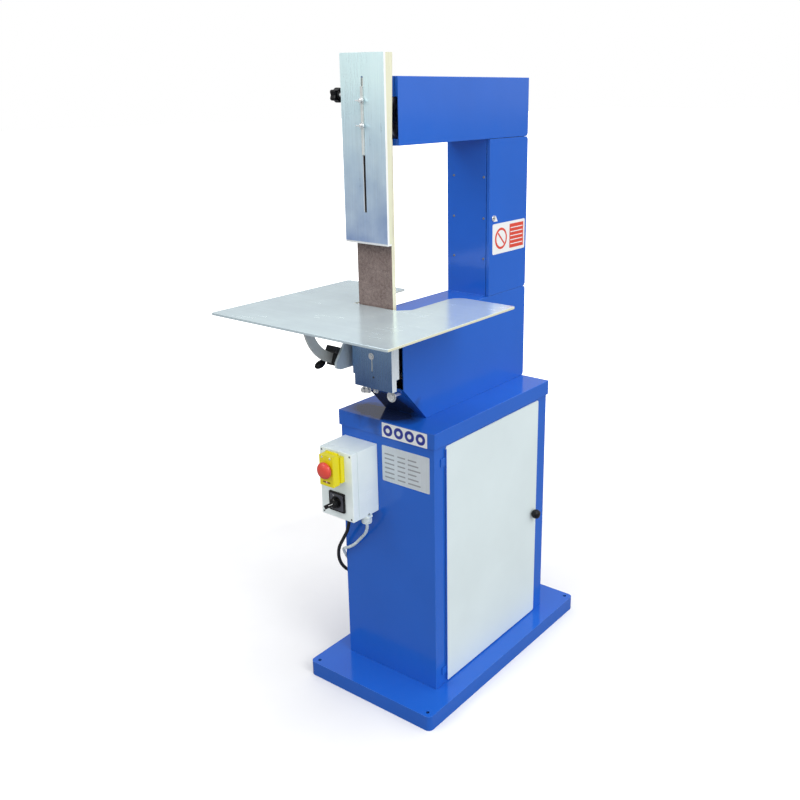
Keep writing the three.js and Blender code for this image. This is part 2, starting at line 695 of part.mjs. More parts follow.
function drive() {
  const motorCentre = { y: MOTOR.y, z: MOTOR.z };
  const motorPulley = pulley(MOTOR_PULLEY_R, MOTOR.shaftR + GAP);
  return assembly(
    placed(piece('drive_wheel', wheel(DRIVE.r, SHAFT_R + GAP, -WHEEL.web, 22), paint(BLACK, 0.8, 0)), DRIVE),
    placed(piece('drive_shaft', driveShaft(), paint(STEEL, 0.3, 0.9)), DRIVE),
    placed(piece('bearing_housing', bearingHousing(), paint(STEEL, 0.5, 0.7)), DRIVE),
    placed(piece('driven_pulley', pulley(DRIVEN_PULLEY_R, PULLEY.boreR), paint(STEEL, 0.5, 0.7)), DRIVE),
    piece('pulley_guard', pulleyGuard(), paint(BLUE, 0.35, 0.1)),
    piece('v_belt', vBelt(), paint(BLACK, 0.9, 0)),
    placed(piece('motor_pulley', motorPulley, paint(STEEL, 0.5, 0.7)), motorCentre),
    placed(piece('motor_shaft', motorShaft(), paint(STEEL, 0.3, 0.9)), motorCentre),
    placed(piece('motor_body', motorBody(), paint(0x5c6670, 0.5, 0.3)), motorCentre),
    piece('motor_stand', motorStand(), paint(STEEL, 0.5, 0.7)),
  );
}

// ---------------------------------------------------------------- belt, platen and belt guards

function abrasiveBelt() {
  const wheels = [DRIVE, UPPER_REAR, UPPER_FRONT, LOWER_FRONT];
  return band(wheels, WHEEL.gap, BELT.thickness, -BELT.halfX, BELT.halfX, 10);
}

// The platen backs the belt between the two front wheels, on two pads that meet the frame.
function platen() {
  const { front, back, bottom, top } = PLATEN;
  const pad = (z) => block(-40, 40, back - 1, FRAME.front - GAP, z, z + 12);
  return join(block(-BELT.halfX, BELT.halfX, front, back, bottom, top), pad(bottom), pad(top - 12));
}

// A folded channel in front of the belt. Its sides narrow towards the bottom.
function upperGuard() {
  const { halfX, front, sheet, bottom, top, sideTop, sideBottom } = GUARD;
  const side = [[front, bottom], [front + sideBottom, bottom], [front + sideTop, top], [front, top]];
  return cut(
    plateX(side, -halfX, halfX),
    block(sheet - halfX, halfX - sheet, front + sheet, front + 40, bottom - 1, top + 1),
    plateY(roundedRectangle(-GUARD_SLOT.halfX, GUARD_SLOT.halfX, GUARD_SLOT.bottom, GUARD_SLOT.top, 3.4),
      front - 1, front + 3, 4),
  );
}

// A strap bolted over the front of the arm hangs down between the belt and the guard. Its rail stands
// through the guard's slot, and both clamping screws pass it.
function guardBracket() {
  const root = FRAME.front - GAP;
  const strapFront = GUARD.front + GUARD.sheet + 1;
  const strap = plateX([
    [strapFront, 1345], [strapFront + 3, 1345], [strapFront + 3, 1501.5], [root - 3, 1501.5],
    [root - 3, 1470], [root, 1470], [root, 1504.5], [strapFront, 1504.5],
  ], -15, 15);
  const rail = block(
    -GUARD_RAIL.halfX, GUARD_RAIL.halfX,
    GUARD_RAIL.front, strapFront + 1,
    GUARD_RAIL.bottom, GUARD_RAIL.top,
  );
  const holes = GUARD_SCREWS.map((z) => rod('y', 2.3, GUARD_RAIL.front - 1, strapFront + 4, 0, z, 10));
  return cut(join(strap, rail), ...holes);
}

// A wing screw, drawn round its own axis: washer, hub and two wings.
function wingScrew() {
  const head = GUARD_RAIL.front - GAP;
  const wing = [[3, head - 6], [10, head - 9], [10, head - 4], [3, head - 1]];
  const mirrored = wing.map(([x, y]) => [-x, y]).reverse();
  return join(
    rod('y', 2, head - 1, GUARD.front + 6, 0, 0, 10),
    rod('y', 6.5, head - 1.5, head, 0, 0, 16),
    rod('y', 4, head - 7, head - 1, 0, 0, 12),
    plateZ(wing, -1.2, 1.2),
    plateZ(mirrored, -1.2, 1.2),
  );
}

// A folded channel round the belt's lower turn. It steps in near the bottom, and a slot lets it slide.
function lowerCasing() {
  const { halfX, front, sheet, bottom, step, top, side } = CASING;
  return cut(
    block(-halfX, halfX, front, front + side, bottom, top),
    block(sheet - halfX, halfX - sheet, front + sheet, front + 50, bottom - 1, top + 1),
    block(-halfX - 1, 5 - halfX, front - 1, front + 50, bottom - 1, step),
    block(-halfX - 1, halfX + 1, front + side - 10, front + 50, bottom - 1, step),
    plateY(roundedRectangle(-CASING_SLOT.halfX, CASING_SLOT.halfX, CASING_SLOT.bottom, CASING_SLOT.top, 1.7),
      front - 1, front + 3, 4),
  );
}

// The casing's support: a shelf under the lower wheel with a tongue up behind the casing.
function casingBracket() {
  const tongueFront = CASING.front + CASING.sheet + GAP;
  const rear = FRAME.front - GAP;
  return cut(
    plateX([
      [tongueFront, 821], [rear, 821], [rear, 836], [rear - 3, 836], [rear - 3, 824],
      [tongueFront + 3, 824], [tongueFront + 3, 908], [tongueFront, 908],
    ], -50, 38),
    rod('y', 1.9, tongueFront - 1, tongueFront + 4, 0, CASING_SLOT.screw, 10),
  );
}

function beltParts() {
  const screws = GUARD_SCREWS.map((z, i) => {
    const screw = piece(['upper_guard_screw', 'lower_guard_screw'][i], wingScrew(), paint(STEEL, 0.3, 0.9));
    screw.position.z = z;
    return screw;
  });
  return assembly(
    piece('abrasive_belt', abrasiveBelt(), paint(0x78675f, 0.9, 0)),
    piece('platen', platen(), paint(0xd8d2bc, 0.6, 0.2)),
    piece('upper_guard', upperGuard(), paint(STEEL, 0.35, 0.8)),
    piece('guard_bracket', guardBracket(), paint(STEEL, 0.35, 0.8)),
    ...screws,
    piece('lower_casing', lowerCasing(), paint(STEEL, 0.35, 0.8)),
    piece('casing_bracket', casingBracket(), paint(STEEL, 0.35, 0.8)),
  );
}

// ---------------------------------------------------------------- tilting table, drawn from its tilt axis

// The plate is notched from behind so that it clears the belt and the frame at every tilt.
function tableShape() {
  const [front, back, notchFront] = [TABLE.front - TILT.y, TABLE.back - TILT.y, NOTCH.front - TILT.y];
  const { halfX } = TABLE;
  const { left, right, chamfer, round } = NOTCH;
  const corner = 5;
  const shape = new THREE.Shape();
  shape.absarc(corner - halfX, front + corner, corner, Math.PI, 1.5 * Math.PI);
  shape.absarc(halfX - corner, front + corner, corner, 1.5 * Math.PI, 2 * Math.PI);
  shape.absarc(halfX - corner, back - corner, corner, 0, Math.PI / 2);
  shape.absarc(right + round, back - round, round, Math.PI / 2, Math.PI);
  shape.lineTo(right, notchFront + chamfer);
  shape.lineTo(right - chamfer, notchFront);
  shape.lineTo(left, notchFront);
  shape.absarc(left - corner, back - corner, corner, 0, Math.PI / 2);
  shape.absarc(2 * corner - halfX, back - 2 * corner, 2 * corner, Math.PI / 2, Math.PI);
  shape.closePath();
  return shape;
}

function workTable() {
  const ear = join(
    block(62, 68, -28, -2, 2, TABLE.bottom + 1),
    rod('x', 12, 62, 68, 0, 0),
  );
  return join(
    plateZ(tableShape(), TABLE.bottom, TABLE.top, 5),
    cut(ear, rod('x', PIVOT_R + GAP, 60, 70, 0, 0)),
  );
}

// The trunnion: a ring sector that the clamp grips, closed by a bar screwed under the table.
function trunnionArc() {
  const { left, right, inner, outer } = ARC;
  const top = TABLE.bottom - GAP;
  return cut(
    join(
      plateX(ringSector(inner, outer, 180, 283), left, right, 12),
      block(left, right, -outer, -inner, -1, top),
      block(left, right, -outer, 12, 7, top),
      rod('x', 13, left, right),
      block(left - 15, left + 1, -110, 6, top - 4, top),
    ),
    rod('x', PIVOT_R + GAP, left - 1, right + 1),
  );
}

// A plate bolted to the frame's left wall holds the pivot and the clamp.
function tiltBracket() {
  const plate = new THREE.Shape();
  plate.moveTo(-55.5, -121);
  plate.lineTo(-42, -126.5);
  plate.lineTo(87, -130);
  plate.lineTo(87, -86);
  plate.lineTo(24, -60);
  plate.lineTo(14, -10);
  plate.absarc(0, 0, 14, 0, Math.PI);
  plate.lineTo(-22, -60);
  plate.lineTo(-56, -108);
  plate.closePath();
  const pad = [[25, -126], [82, -127], [82, -88], [25, -66]];
  return cut(
    join(plateX(plate, -78, -72, 5), plateX(pad, -73, -FRAME.halfX - GAP)),
    rod('x', PIVOT_R + GAP, -80, -70),
    rod('x', 16, -71.5, -60, LOWER_FRONT.y - TILT.y, LOWER_FRONT.z - TILT.z),
  );
}

// The jaw hooks round the arc: one side bears on its inner edge, the other on its outer edge.
function clampBlock() {
  const { left, right, inner, outer } = ARC;
  return cut(
    join(
      plateX(ringSector(inner - 15, inner - 0.5, 239, 258), -112, -78 - GAP),
      plateX(ringSector(inner - 15, outer + 5, 251, 257), -118, -78 - GAP),
    ),
    plateX(ringSector(inner - 0.5, outer + 0.5, 200, 290), left - 0.5, right + 0.5, 12),
  );
}

// A clamp lever, drawn round its own axis: hub, arm and an oval grip.
function clampLever() {
  const grip = new THREE.SphereGeometry(1, 14, 8);
  grip.scale(8, 17, 9.5).translate(-127, -33, 0);
  const arm = [[-24, -4], [0, -9], [0, 9], [-24, 4]];
  const lever = join(rod('x', 10, -131, -118.5), plateX(arm, -129, -121), solid(grip));
  return lever.rotate([36, 0, 0]);
}

function pivotPin() {
  return turned('x', [[0, -115], [9, -115], [9, -110.4], [PIVOT_R, -110.4], [PIVOT_R, -103.6], [9, -103.6],
    [9, -78.4], [PIVOT_R, -78.4], [PIVOT_R, -71.6], [9, -71.6], [9, -66.5], [0, -66.5]], 0, 0, 20);
}

// The right-hand pivot: a lug fixed to the platen's edge, with a headed pin for the table's ear.
function pivotLug() {
  const pin = turned('x', [[0, 56], [PIVOT_R, 56], [PIVOT_R, 68.4], [9, 68.4], [9, 72], [0, 72]], 0, 0, 20);
  return join(block(BELT.halfX + GAP, 57, -13, 15, -12, 12), pin);
}

function tiltingTable() {
  const lever = piece('clamp_lever', clampLever(), paint(BLACK, 0.45, 0));
  lever.position.set(0, -27, -101);
  const table = assembly(
    piece('work_table', workTable(), paint(0xc4d0d6, 0.3, 0.8)),
    piece('trunnion_arc', trunnionArc(), paint(STEEL, 0.4, 0.8)),
    piece('tilt_bracket', tiltBracket(), paint(STEEL, 0.4, 0.8)),
    piece('clamp_block', clampBlock(), paint(BLACK, 0.5, 0.2)),
    lever,
    piece('pivot_pin', pivotPin(), paint(STEEL, 0.3, 0.9)),
    piece('pivot_lug', pivotLug(), paint(STEEL, 0.4, 0.8)),
  );
  table.position.set(0, TILT.y, TILT.z);
  return table;
}

// ---------------------------------------------------------------- control box, drawn from its back

function controlBox() {
  const { halfX, halfZ, depth, wall } = BOX;
  return cut(
    block(-halfX, halfX, -depth, 0, -halfZ, halfZ),
    block(wall - halfX, halfX - wall, -depth - 1, -wall, wall - halfZ, halfZ - wall),
    rod('z', 9, -halfZ - 1, wall - halfZ + 1, GREY_GLAND.x - BOX.x, GLAND_Y - BOX_Y, 16),
    rod('z', 6, -halfZ - 1, wall - halfZ + 1, BLACK_GLAND.x - BOX.x, GLAND_Y - BOX_Y, 16),
  );
}

function boxLid() {
  const { halfX, halfZ, depth, lid, wall } = BOX;
  const back = -depth - GAP;
  return cut(
    block(-halfX, halfX, back - lid, back, -halfZ, halfZ),
    block(wall - halfX, halfX - wall, back - lid + wall, back + 1, wall - halfZ, halfZ - wall),
  );
}

function estopBase() {
  const { x, z, startZ, front } = ESTOP;
  return cut(
    block(ESTOP_BASE.left, ESTOP_BASE.right, front, -90.6, ESTOP_BASE.bottom, ESTOP_BASE.top),
    rod('y', 8.4, front - 1, -93, x, z, 20),
    rod('y', 8.4, front - 1, -93, x, startZ, 20),
  );
}

function pushButton(z) {
  return rod('y', 8, ESTOP.front - 4.8, -98, ESTOP.x, z, 20);
}

// The flap is a hollow cover hinged along its top edge, with a hole for the mushroom's stem.
function estopFlap() {
  const { left, right, bottom, top, front, wall } = FLAP;
  const back = ESTOP.front - 0.5;
  return cut(
    block(left, right, front, back, bottom, top),
    block(left + wall, right - wall, front + wall, back + 1, bottom + wall, top - wall),
    rod('y', 7.5, front - 1, front + wall + 1, ESTOP.x, ESTOP.z, 20),
  );
}

function estopMushroom() {
  return turned('y', [[0, -107.8], [7, -107.8], [7, -129.5], [19, -129.5], [20.8, -132], [20.8, -136],
    [18, -140.5], [9, -142.8], [0, -143]], ESTOP.x, ESTOP.z, 28);
}

function switchPlate() {
  const { x, z, halfX } = SWITCH;
  return cut(
    join(
      plateY(roundedRectangle(x - halfX, x + halfX, z - halfX, z + halfX, 3), -95, -90.6, 3),
      rod('y', 15, -98, -94.5, x, z, 24),
    ),
    rod('y', 4.3, -99, -90, x, z, 16),
  );
}

// A bar handle on a round hub, drawn round its own axis and turned to point down to the left.
function switchHandle() {
  const bar = block(-24, 10, -117, -103, -5, 5).rotate([0, -32, 0]);
  return join(rod('y', 12.5, -110, -98.3, 0, 0, 24), bar, rod('y', 4, -99, -92, 0, 0, 16));
}

const BOX_Y = -CABINET.halfY - GAP;
const GLAND_Y = -285;
const GREY_GLAND = { x: -38, r: 13 };
const BLACK_GLAND = { x: -96, r: 9 };

// Both cables leave the bottom of the box, pass round the cabinet's corner and enter its left wall.
function blackCable() {
  const mouth = BOX.z - BOX.halfZ - GAP;
  const cable = cord([
    [BLACK_GLAND.x, GLAND_Y, mouth - 8], [-99, -284, 450], [-112.5, -277, 418], [-134.5, -271, 384],
    [-153, -268, 352], [-160, -263, 322], [-161, -254, 298], [-158, -242, 280], [-151, -230, 268],
    [-144, -222, 262],
  ], 4.5, 26);
  return join(cable, rod('z', BLACK_GLAND.r, mouth - 12, mouth, BLACK_GLAND.x, GLAND_Y, 16));
}

function greyCable() {
  const mouth = BOX.z - BOX.halfZ - GAP;
  const cable = cord([
    [GREY_GLAND.x, GLAND_Y, mouth - 16], [-43, -279, 450], [-57, -270, 425], [-80, -264, 400],
    [-105, -262, 374], [-128, -261, 358], [-146, -258, 348], [-152, -250, 334], [-153, -240, 316],
    [-150, -232, 300], [-144, -228, 290],
  ], 4, 26);
  return join(cable, rod('z', GREY_GLAND.r, mouth - 19, mouth, GREY_GLAND.x, GLAND_Y, 20));
}

function controls() {
  const handle = piece('switch_handle', switchHandle(), paint(BLACK, 0.4, 0));
  handle.position.set(SWITCH.x, 0, SWITCH.z);
  const box = assembly(
    piece('control_box', controlBox(), paint(WHITE, 0.5, 0)),
    piece('box_lid', boxLid(), paint(WHITE, 0.5, 0)),
    piece('estop_base', estopBase(), paint(0xe8c810, 0.45, 0)),
    piece('start_button', pushButton(ESTOP.startZ), paint(0x1d8a3c, 0.4, 0)),
    piece('stop_button', pushButton(ESTOP.z), paint(0xb3231d, 0.4, 0)),
    piece('estop_flap', estopFlap(), paint(0xe8c810, 0.45, 0)),
    piece('estop_mushroom', estopMushroom(), paint(0xd8302f, 0.4, 0)),
    piece('switch_plate', switchPlate(), paint(0x2a2c2f, 0.5, 0)),
    handle,
  );
  box.position.set(BOX.x, BOX_Y, BOX.z);
  return assembly(
    box,
    piece('black_cable', blackCable(), paint(BLACK, 0.6, 0)),
    piece('grey_cable', greyCable(), paint(0xb9c2c6, 0.6, 0)),
  );
}

// ---------------------------------------------------------------- whole machine

const group = assembly(stand(), cFrame(), runningGear(), drive(), beltParts(), tiltingTable(), controls());

export default group;
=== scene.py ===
"""Belt grinder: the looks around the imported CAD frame, in the frame's own metres. +X is to the operator's
right, -Y towards the operator and +Z up. Pieces are drawn in millimetres. Most places come from the CAD nodes'
boxes, and a place that no box gives is written out in the function that uses it."""

import json
import math

import bmesh
import bpy
from mathutils import Matrix, Vector

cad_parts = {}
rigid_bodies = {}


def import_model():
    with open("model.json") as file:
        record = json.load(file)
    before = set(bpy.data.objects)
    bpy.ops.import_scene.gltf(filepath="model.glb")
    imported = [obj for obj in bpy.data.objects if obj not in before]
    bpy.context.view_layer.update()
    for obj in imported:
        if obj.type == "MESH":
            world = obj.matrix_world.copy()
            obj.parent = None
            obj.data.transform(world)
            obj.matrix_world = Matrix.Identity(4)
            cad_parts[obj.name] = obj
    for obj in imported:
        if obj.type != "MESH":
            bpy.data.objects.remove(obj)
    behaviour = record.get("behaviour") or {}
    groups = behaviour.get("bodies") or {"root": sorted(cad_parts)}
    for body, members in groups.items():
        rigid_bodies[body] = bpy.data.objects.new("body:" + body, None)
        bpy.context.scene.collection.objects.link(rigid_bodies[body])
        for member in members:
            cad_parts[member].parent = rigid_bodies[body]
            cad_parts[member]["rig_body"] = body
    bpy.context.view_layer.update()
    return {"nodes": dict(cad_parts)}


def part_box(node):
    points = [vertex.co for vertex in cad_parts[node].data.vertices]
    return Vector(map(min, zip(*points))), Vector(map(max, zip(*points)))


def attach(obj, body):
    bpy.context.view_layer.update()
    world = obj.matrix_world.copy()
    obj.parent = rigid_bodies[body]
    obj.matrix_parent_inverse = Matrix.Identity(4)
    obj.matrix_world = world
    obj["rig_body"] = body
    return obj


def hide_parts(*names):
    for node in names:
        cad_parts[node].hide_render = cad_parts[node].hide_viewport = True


MM = 0.001

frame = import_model()


# ---------------------------------------------------------------- node helpers


def rgb(red, green, blue):
    return (red, green, blue, 1.0)


def scaled(colour, factor):
    return (*(min(1.0, channel * factor) for channel in colour[:3]), 1.0)


def in_metres(values):
    return tuple(value * MM for value in values)


class Nodes:
    """A node tree under construction. A value is a number, a tuple or another node's output."""

    def __init__(self, tree):
        self.tree = tree

    def put(self, value, target):
        if hasattr(value, "is_linked"):
            self.tree.links.new(value, target)
        else:
            target.default_value = value

    def node(self, kind, inputs=None, **settings):
        made = self.tree.nodes.new(kind)
        for key, value in settings.items():
            setattr(made, key, value)
        for key, value in (inputs or {}).items():
            self.put(value, made.inputs[key])
        return made

    def math(self, operation, first, second=0.0):
        return self.node("ShaderNodeMath", {0: first, 1: second}, operation=operation).outputs[0]

    def vector(self, operation, first, second=(0.0, 0.0, 0.0), output="Vector"):
        made = self.node("ShaderNodeVectorMath", {0: first, 1: second}, operation=operation)
        return made.outputs[output]

    def spread(self, value, low, high, from_low=0.0, from_high=1.0):
        """The range from_low to from_high stretched to low to high, and held at its ends."""
        inputs = {"Value": value, "From Min": from_low, "From Max": from_high, "To Min": low, "To Max": high}
        return self.node("ShaderNodeMapRange", inputs).outputs["Result"]

    def mix(self, factor, first, second):
        return self.node("ShaderNodeMix", {0: factor, 6: first, 7: second}, data_type="RGBA").outputs[2]


class Shader(Nodes):
    """A node material. Coordinates are the object's own, in metres."""

    def __init__(self, name):
        self.material = bpy.data.materials.new(name)
        self.material.use_nodes = True
        super().__init__(self.material.node_tree)
        self.surface = self.tree.nodes["Principled BSDF"]
        self.position = self.tree.nodes.new("ShaderNodeTexCoord").outputs["Object"]

    def stretched(self, scale):
        return self.node("ShaderNodeMapping", {"Vector": self.position, "Scale": scale}).outputs["Vector"]

    def noise(self, scale, detail=2.0, roughness=0.5, vector=None):
        inputs = {"Vector": vector or self.position, "Scale": scale, "Detail": detail, "Roughness": roughness}
        return self.node("ShaderNodeTexNoise", inputs).outputs["Fac"]

    def clouds(self, scale, detail, thin=0.3, thick=0.7, roughness=0.5):
        """Noise as patches: 0 where it is below thin and 1 where it is above thick."""
        return self.spread(self.noise(scale, detail, roughness), 0.0, 1.0, thin, thick)

    def uneven(self, value, scale, detail, least=0.85, most=1.15):
        """A value that wanders between two shares of itself."""
        return self.spread(self.noise(scale, detail), value * least, value * most)

    def normal(self):
        return self.node("ShaderNodeNewGeometry").outputs["Normal"]

    def edges(self, radius, low, high, share):
        """share on edges and 0 on flats: how far a rounded-off normal leans from the true one."""
        bevel = self.node("ShaderNodeBevel", {"Radius": radius}, samples=4).outputs["Normal"]
        leaning = self.math("SUBTRACT", 1.0, self.vector("DOT_PRODUCT", bevel, self.normal(), "Value"))
        return self.math("MULTIPLY", self.spread(leaning, 0.0, 1.0, low, high), share)

    def right_faces(self):
        """1 on faces that look to the right, such as the cut edges of a sheet."""
        rightness = self.vector("DOT_PRODUCT", self.normal(), (1.0, 0.0, 0.0), "Value")
        return self.spread(rightness, 0.0, 1.0, 0.75, 0.95)

    def along(self, axis, start, end):
        """0 at one place along an axis and 1 at another, in millimetres."""
        separate = self.node("ShaderNodeSeparateXYZ", {0: self.position})
        return self.spread(separate.outputs[axis], 0.0, 1.0, start * MM, end * MM)

    def patch(self, middle, half_sizes):
        """A mask for an egg-shaped region given in millimetres, ragged and fading out towards its surface."""
        shifted = self.vector("SUBTRACT", self.position, in_metres(middle))
        shrunk = self.vector("DIVIDE", shifted, in_metres(half_sizes))
        ragged = self.math("ADD", self.vector("LENGTH", shrunk, output="Value"),
                           self.spread(self.noise(22.0, 4.0), -0.12, 0.12, 0.3, 0.7))
        return self.spread(ragged, 0.93, 0.0, 0.62, 1.0)

    def bump(self, height, strength, distance_mm):
        inputs = {"Height": height, "Strength": strength, "Distance": distance_mm * MM}
        return self.node("ShaderNodeBump", inputs).outputs["Normal"]

    def finish(self, **inputs):
        for key, value in inputs.items():
            self.put(value, self.surface.inputs[key.replace("_", " ")])
        return self.material


# ---------------------------------------------------------------- materials

# painted shade, near black: the patch in front of the frame's foot, under the table
PAINTED_SHADE_BLUE = rgb(0.015, 0.022, 0.060)
RUBBED_IRON = rgb(0.34, 0.35, 0.36)
# painted highlights on the guard's folds: on the side just behind the front, and along the foot
PAINTED_FOLD_HIGHLIGHT_SIDE, PAINTED_FOLD_HIGHLIGHT_FOOT = rgb(0.95, 0.97, 0.96), rgb(0.93, 0.95, 0.95)


def enamel(name, colour, edge_wear_and_highlight_colour, roughness=0.13, edge_wear_and_highlight_share=0.5, specular=0.45, shade_patch=None):
    """Sprayed gloss enamel: orange peel, faint clouding, dust in the gloss and paler, thinner paint on edges,
    which on the blue also stands as a painted highlight. shade_patch is the middle and the half sizes, in
    millimetres, of a patch of painted shade in front of the frame's foot, under the table."""
    s = Shader(name)
    base = s.mix(s.clouds(5.0, 3.0), scaled(colour, 0.965), scaled(colour, 1.035))
    # paler edges: worn, thinner paint, and on the blue also a painted highlight along the edges
    edge_wear_and_highlight_mask = s.spread(s.noise(30.0, 4.0), 0.2, edge_wear_and_highlight_share, 0.4, 0.7)
    paint = s.mix(s.edges(1.9 * MM, 0.04, 0.3, edge_wear_and_highlight_mask), base, edge_wear_and_highlight_colour)
    # painted shade: a dark patch laid over the paint in front of the frame's foot
    if shade_patch:
        paint = s.mix(s.patch(*shade_patch), paint, PAINTED_SHADE_BLUE)
    gloss = s.spread(s.noise(15.0, 4.0, 0.6), roughness * 0.85, roughness * 1.3, 0.3, 0.7)
    return s.finish(Base_Color=paint, Roughness=gloss, Normal=s.bump(s.noise(200.0, 1.0), 0.03, 0.2),
                    Specular_IOR_Level=specular)


def steel(name, colour, grain, roughness, metallic, smudge=0.12, lower=None, heights=(0, 1), edge=None,
          lines_seen=1.0, fold_highlights=None):
    """Rolled or ground sheet steel. grain holds the texture's scale along x, y and z: small along the lines.
    lower is the tone at the lower of two heights, a painted shade darker towards the foot, and edge the tone
    of the right-hand faces. fold_highlights holds the depth of a painted highlight on the fold behind the
    front and the height of one along the foot."""
    s = Shader(name)
    lines = s.noise(1.0, 3.0, 0.6, s.stretched(grain))
    cloud = s.clouds(9.0, 5.0, 0.35, 0.7, 0.6)
    streak = s.spread(lines, 1.0 - 0.05 * lines_seen, 1.0 + 0.04 * lines_seen, 0.3, 0.7)
    # painted shade: from lower at the first height to colour at the second, darker towards the foot
    if lower:
        shaded_low = s.mix(s.along("Z", *heights), lower, colour)
        base = s.mix(s.math("MULTIPLY", cloud, smudge * 1.5), shaded_low, scaled(colour, 1.15))
    else:
        base = s.mix(cloud, scaled(colour, 1.0 - smudge), scaled(colour, 1.0 + smudge / 2))
    # painted highlight: a white strip on the right-hand side just behind the front
    if fold_highlights:
        edge = s.mix(s.along("Y", fold_highlights[0] + 1.0, fold_highlights[0]), edge, PAINTED_FOLD_HIGHLIGHT_SIDE)
    if edge:
        base = s.mix(s.right_faces(), base, edge)
    # painted highlight: a white band along the foot
    if fold_highlights:
        base = s.mix(s.along("Z", fold_highlights[1] + 1.5, fold_highlights[1]), base, PAINTED_FOLD_HIGHLIGHT_FOOT)
    streaks = s.node("ShaderNodeCombineXYZ", {"X": streak, "Y": streak, "Z": streak}).outputs[0]
    streaked = s.vector("MULTIPLY", base, streaks)
    bright = s.mix(s.edges(0.8 * MM, 0.03, 0.25, 0.5), streaked, scaled(colour, 1.25))
    clouded_gloss = s.spread(cloud, roughness * 0.85, roughness * 1.2)
    gloss = s.math("ADD", s.spread(lines, -0.05, 0.07, 0.3, 0.7), clouded_gloss)
    metal = s.math("MULTIPLY", s.spread(s.right_faces(), 1.0, 0.25 if edge else 1.0), metallic)
    return s.finish(Base_Color=bright, Roughness=gloss, Metallic=metal,
                    Normal=s.bump(lines, 0.07 * lines_seen, 0.04))


def plated(name, colour, roughness=0.22):
    """Zinc-plated or turned small parts."""
    s = Shader(name)
    tint = s.mix(s.clouds(120.0, 4.0, 0.35, 0.65), scaled(colour, 0.82), colour)
    return s.finish(Base_Color=tint, Roughness=s.uneven(roughness, 300.0, 3.0, 0.7, 1.5), Metallic=0.6,
                    Normal=s.bump(s.noise(900.0), 0.06, 0.05))


def iron(name, colour, roughness=0.6):
    """Cast or blackened iron with a sandy skin and rubbed edges."""
    s = Shader(name)
    tint = s.mix(s.clouds(70.0, 5.0), scaled(colour, 0.8), scaled(colour, 1.3))
    return s.finish(Base_Color=s.mix(s.edges(1.0 * MM, 0.03, 0.3, 0.45), tint, RUBBED_IRON),
                    Roughness=s.uneven(roughness, 40.0, 3.0), Metallic=0.35,
                    Normal=s.bump(s.noise(800.0, 4.0, 0.7), 0.35, 0.2))


def plastic(name, colour, roughness=0.42, texture=1.0, coat=0.0, specular=0.5):
    """Moulded plastic with a fine spark-eroded texture, faint flow clouding and scuffed edges."""
    s = Shader(name)
    tint = s.mix(s.clouds(24.0, 3.0), scaled(colour, 0.96), scaled(colour, 1.03))
    return s.finish(Base_Color=s.mix(s.edges(0.7 * MM, 0.04, 0.35, 0.18), tint, scaled(colour, 1.35)),
                    Roughness=s.uneven(roughness, 55.0, 4.0, 0.88), Coat_Weight=coat, Coat_Roughness=0.15,
                    Specular_IOR_Level=specular, Normal=s.bump(s.noise(1500.0, 2.0), 0.12 * texture, 0.1))


def rubber(name, colour):
    """Dull rubber or cable sheath, wiped unevenly."""
    s = Shader(name)
    return s.finish(Base_Color=s.mix(s.clouds(90.0, 4.0), scaled(colour, 0.8), scaled(colour, 1.25)),
                    Roughness=s.spread(s.noise(140.0, 3.0), 0.5, 0.75),
                    Normal=s.bump(s.noise(1100.0, 3.0), 0.2, 0.15))


def abrasive(name, loop_centre):
    """Coated abrasive outside, with grains and glints, and woven backing cloth inside the loop."""
    s = Shader(name)
    grains = s.node("ShaderNodeTexVoronoi", {"Vector": s.position, "Scale": 1400.0}).outputs["Distance"]
    glints = s.clouds(1900.0, 2.0, 0.62, 0.72)
    loaded = s.clouds(26.0, 3.0, 0.4, 0.7)
    grit = s.mix(s.clouds(150.0, 5.0, 0.35, 0.68, 0.7), rgb(0.112, 0.078, 0.070), rgb(0.245, 0.180, 0.163))
    dusty = s.mix(s.math("MULTIPLY", loaded, 0.35), grit, rgb(0.30, 0.235, 0.215))
    coated = s.mix(s.math("MULTIPLY", glints, 0.55), dusty, rgb(0.62, 0.56, 0.52))
    threads = {"Vector": s.position, "Scale": 260.0, "Distortion": 0.4}
    weave = s.node("ShaderNodeTexWave", threads).outputs["Fac"]
    cloth = s.mix(weave, rgb(0.50, 0.39, 0.25), rgb(0.62, 0.50, 0.34))
    outward = s.vector("SUBTRACT", s.position, loop_centre)
    outside = s.math("GREATER_THAN", s.vector("DOT_PRODUCT", outward, s.normal(), "Value"), 0.0)
    height = s.math("ADD", grains, s.spread(s.noise(2600.0, 3.0), 0.0, 0.6))
    return s.finish(Base_Color=s.mix(outside, cloth, coated), Roughness=0.82, Specular_IOR_Level=0.35,
                    Normal=s.bump(height, 0.75, 0.35))


def printed(name, colour, roughness=0.4):
    """Printed label foil: flat ink with a faint screen texture and grime, also laid on flat as painted shade
    in slots and holes.
    """
    s = Shader(name)
    grime = s.spread(s.noise(45.0, 5.0, 0.65), 0.0, 0.16, 0.5, 0.8)
    return s.finish(Base_Color=s.mix(grime, colour, scaled(colour, 0.72)),
                    Roughness=s.uneven(roughness, 70.0, 3.0, 0.85, 1.2),
                    Normal=s.bump(s.noise(700.0), 0.05, 0.05))


# the blue's edge colour is worn paint made pale enough to stand as a painted highlight along the edges
BLUE, WORN_AND_HIGHLIT_BLUE = rgb(0.014, 0.121, 0.575), rgb(0.14, 0.34, 0.80)
CREAM = rgb(0.80, 0.80, 0.60)
# the middle and half sizes of the painted shade patch at the frame's foot
FRAME_FOOT = ((-45, -207, 745), (122, 63, 92))
UPRIGHT_LINES, SIDEWAYS_LINES, NO_LINES = (420.0, 420.0, 9.0), (7.0, 500.0, 500.0), (300.0, 300.0, 300.0)
GUARD_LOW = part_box("upper_guard")[0] / MM
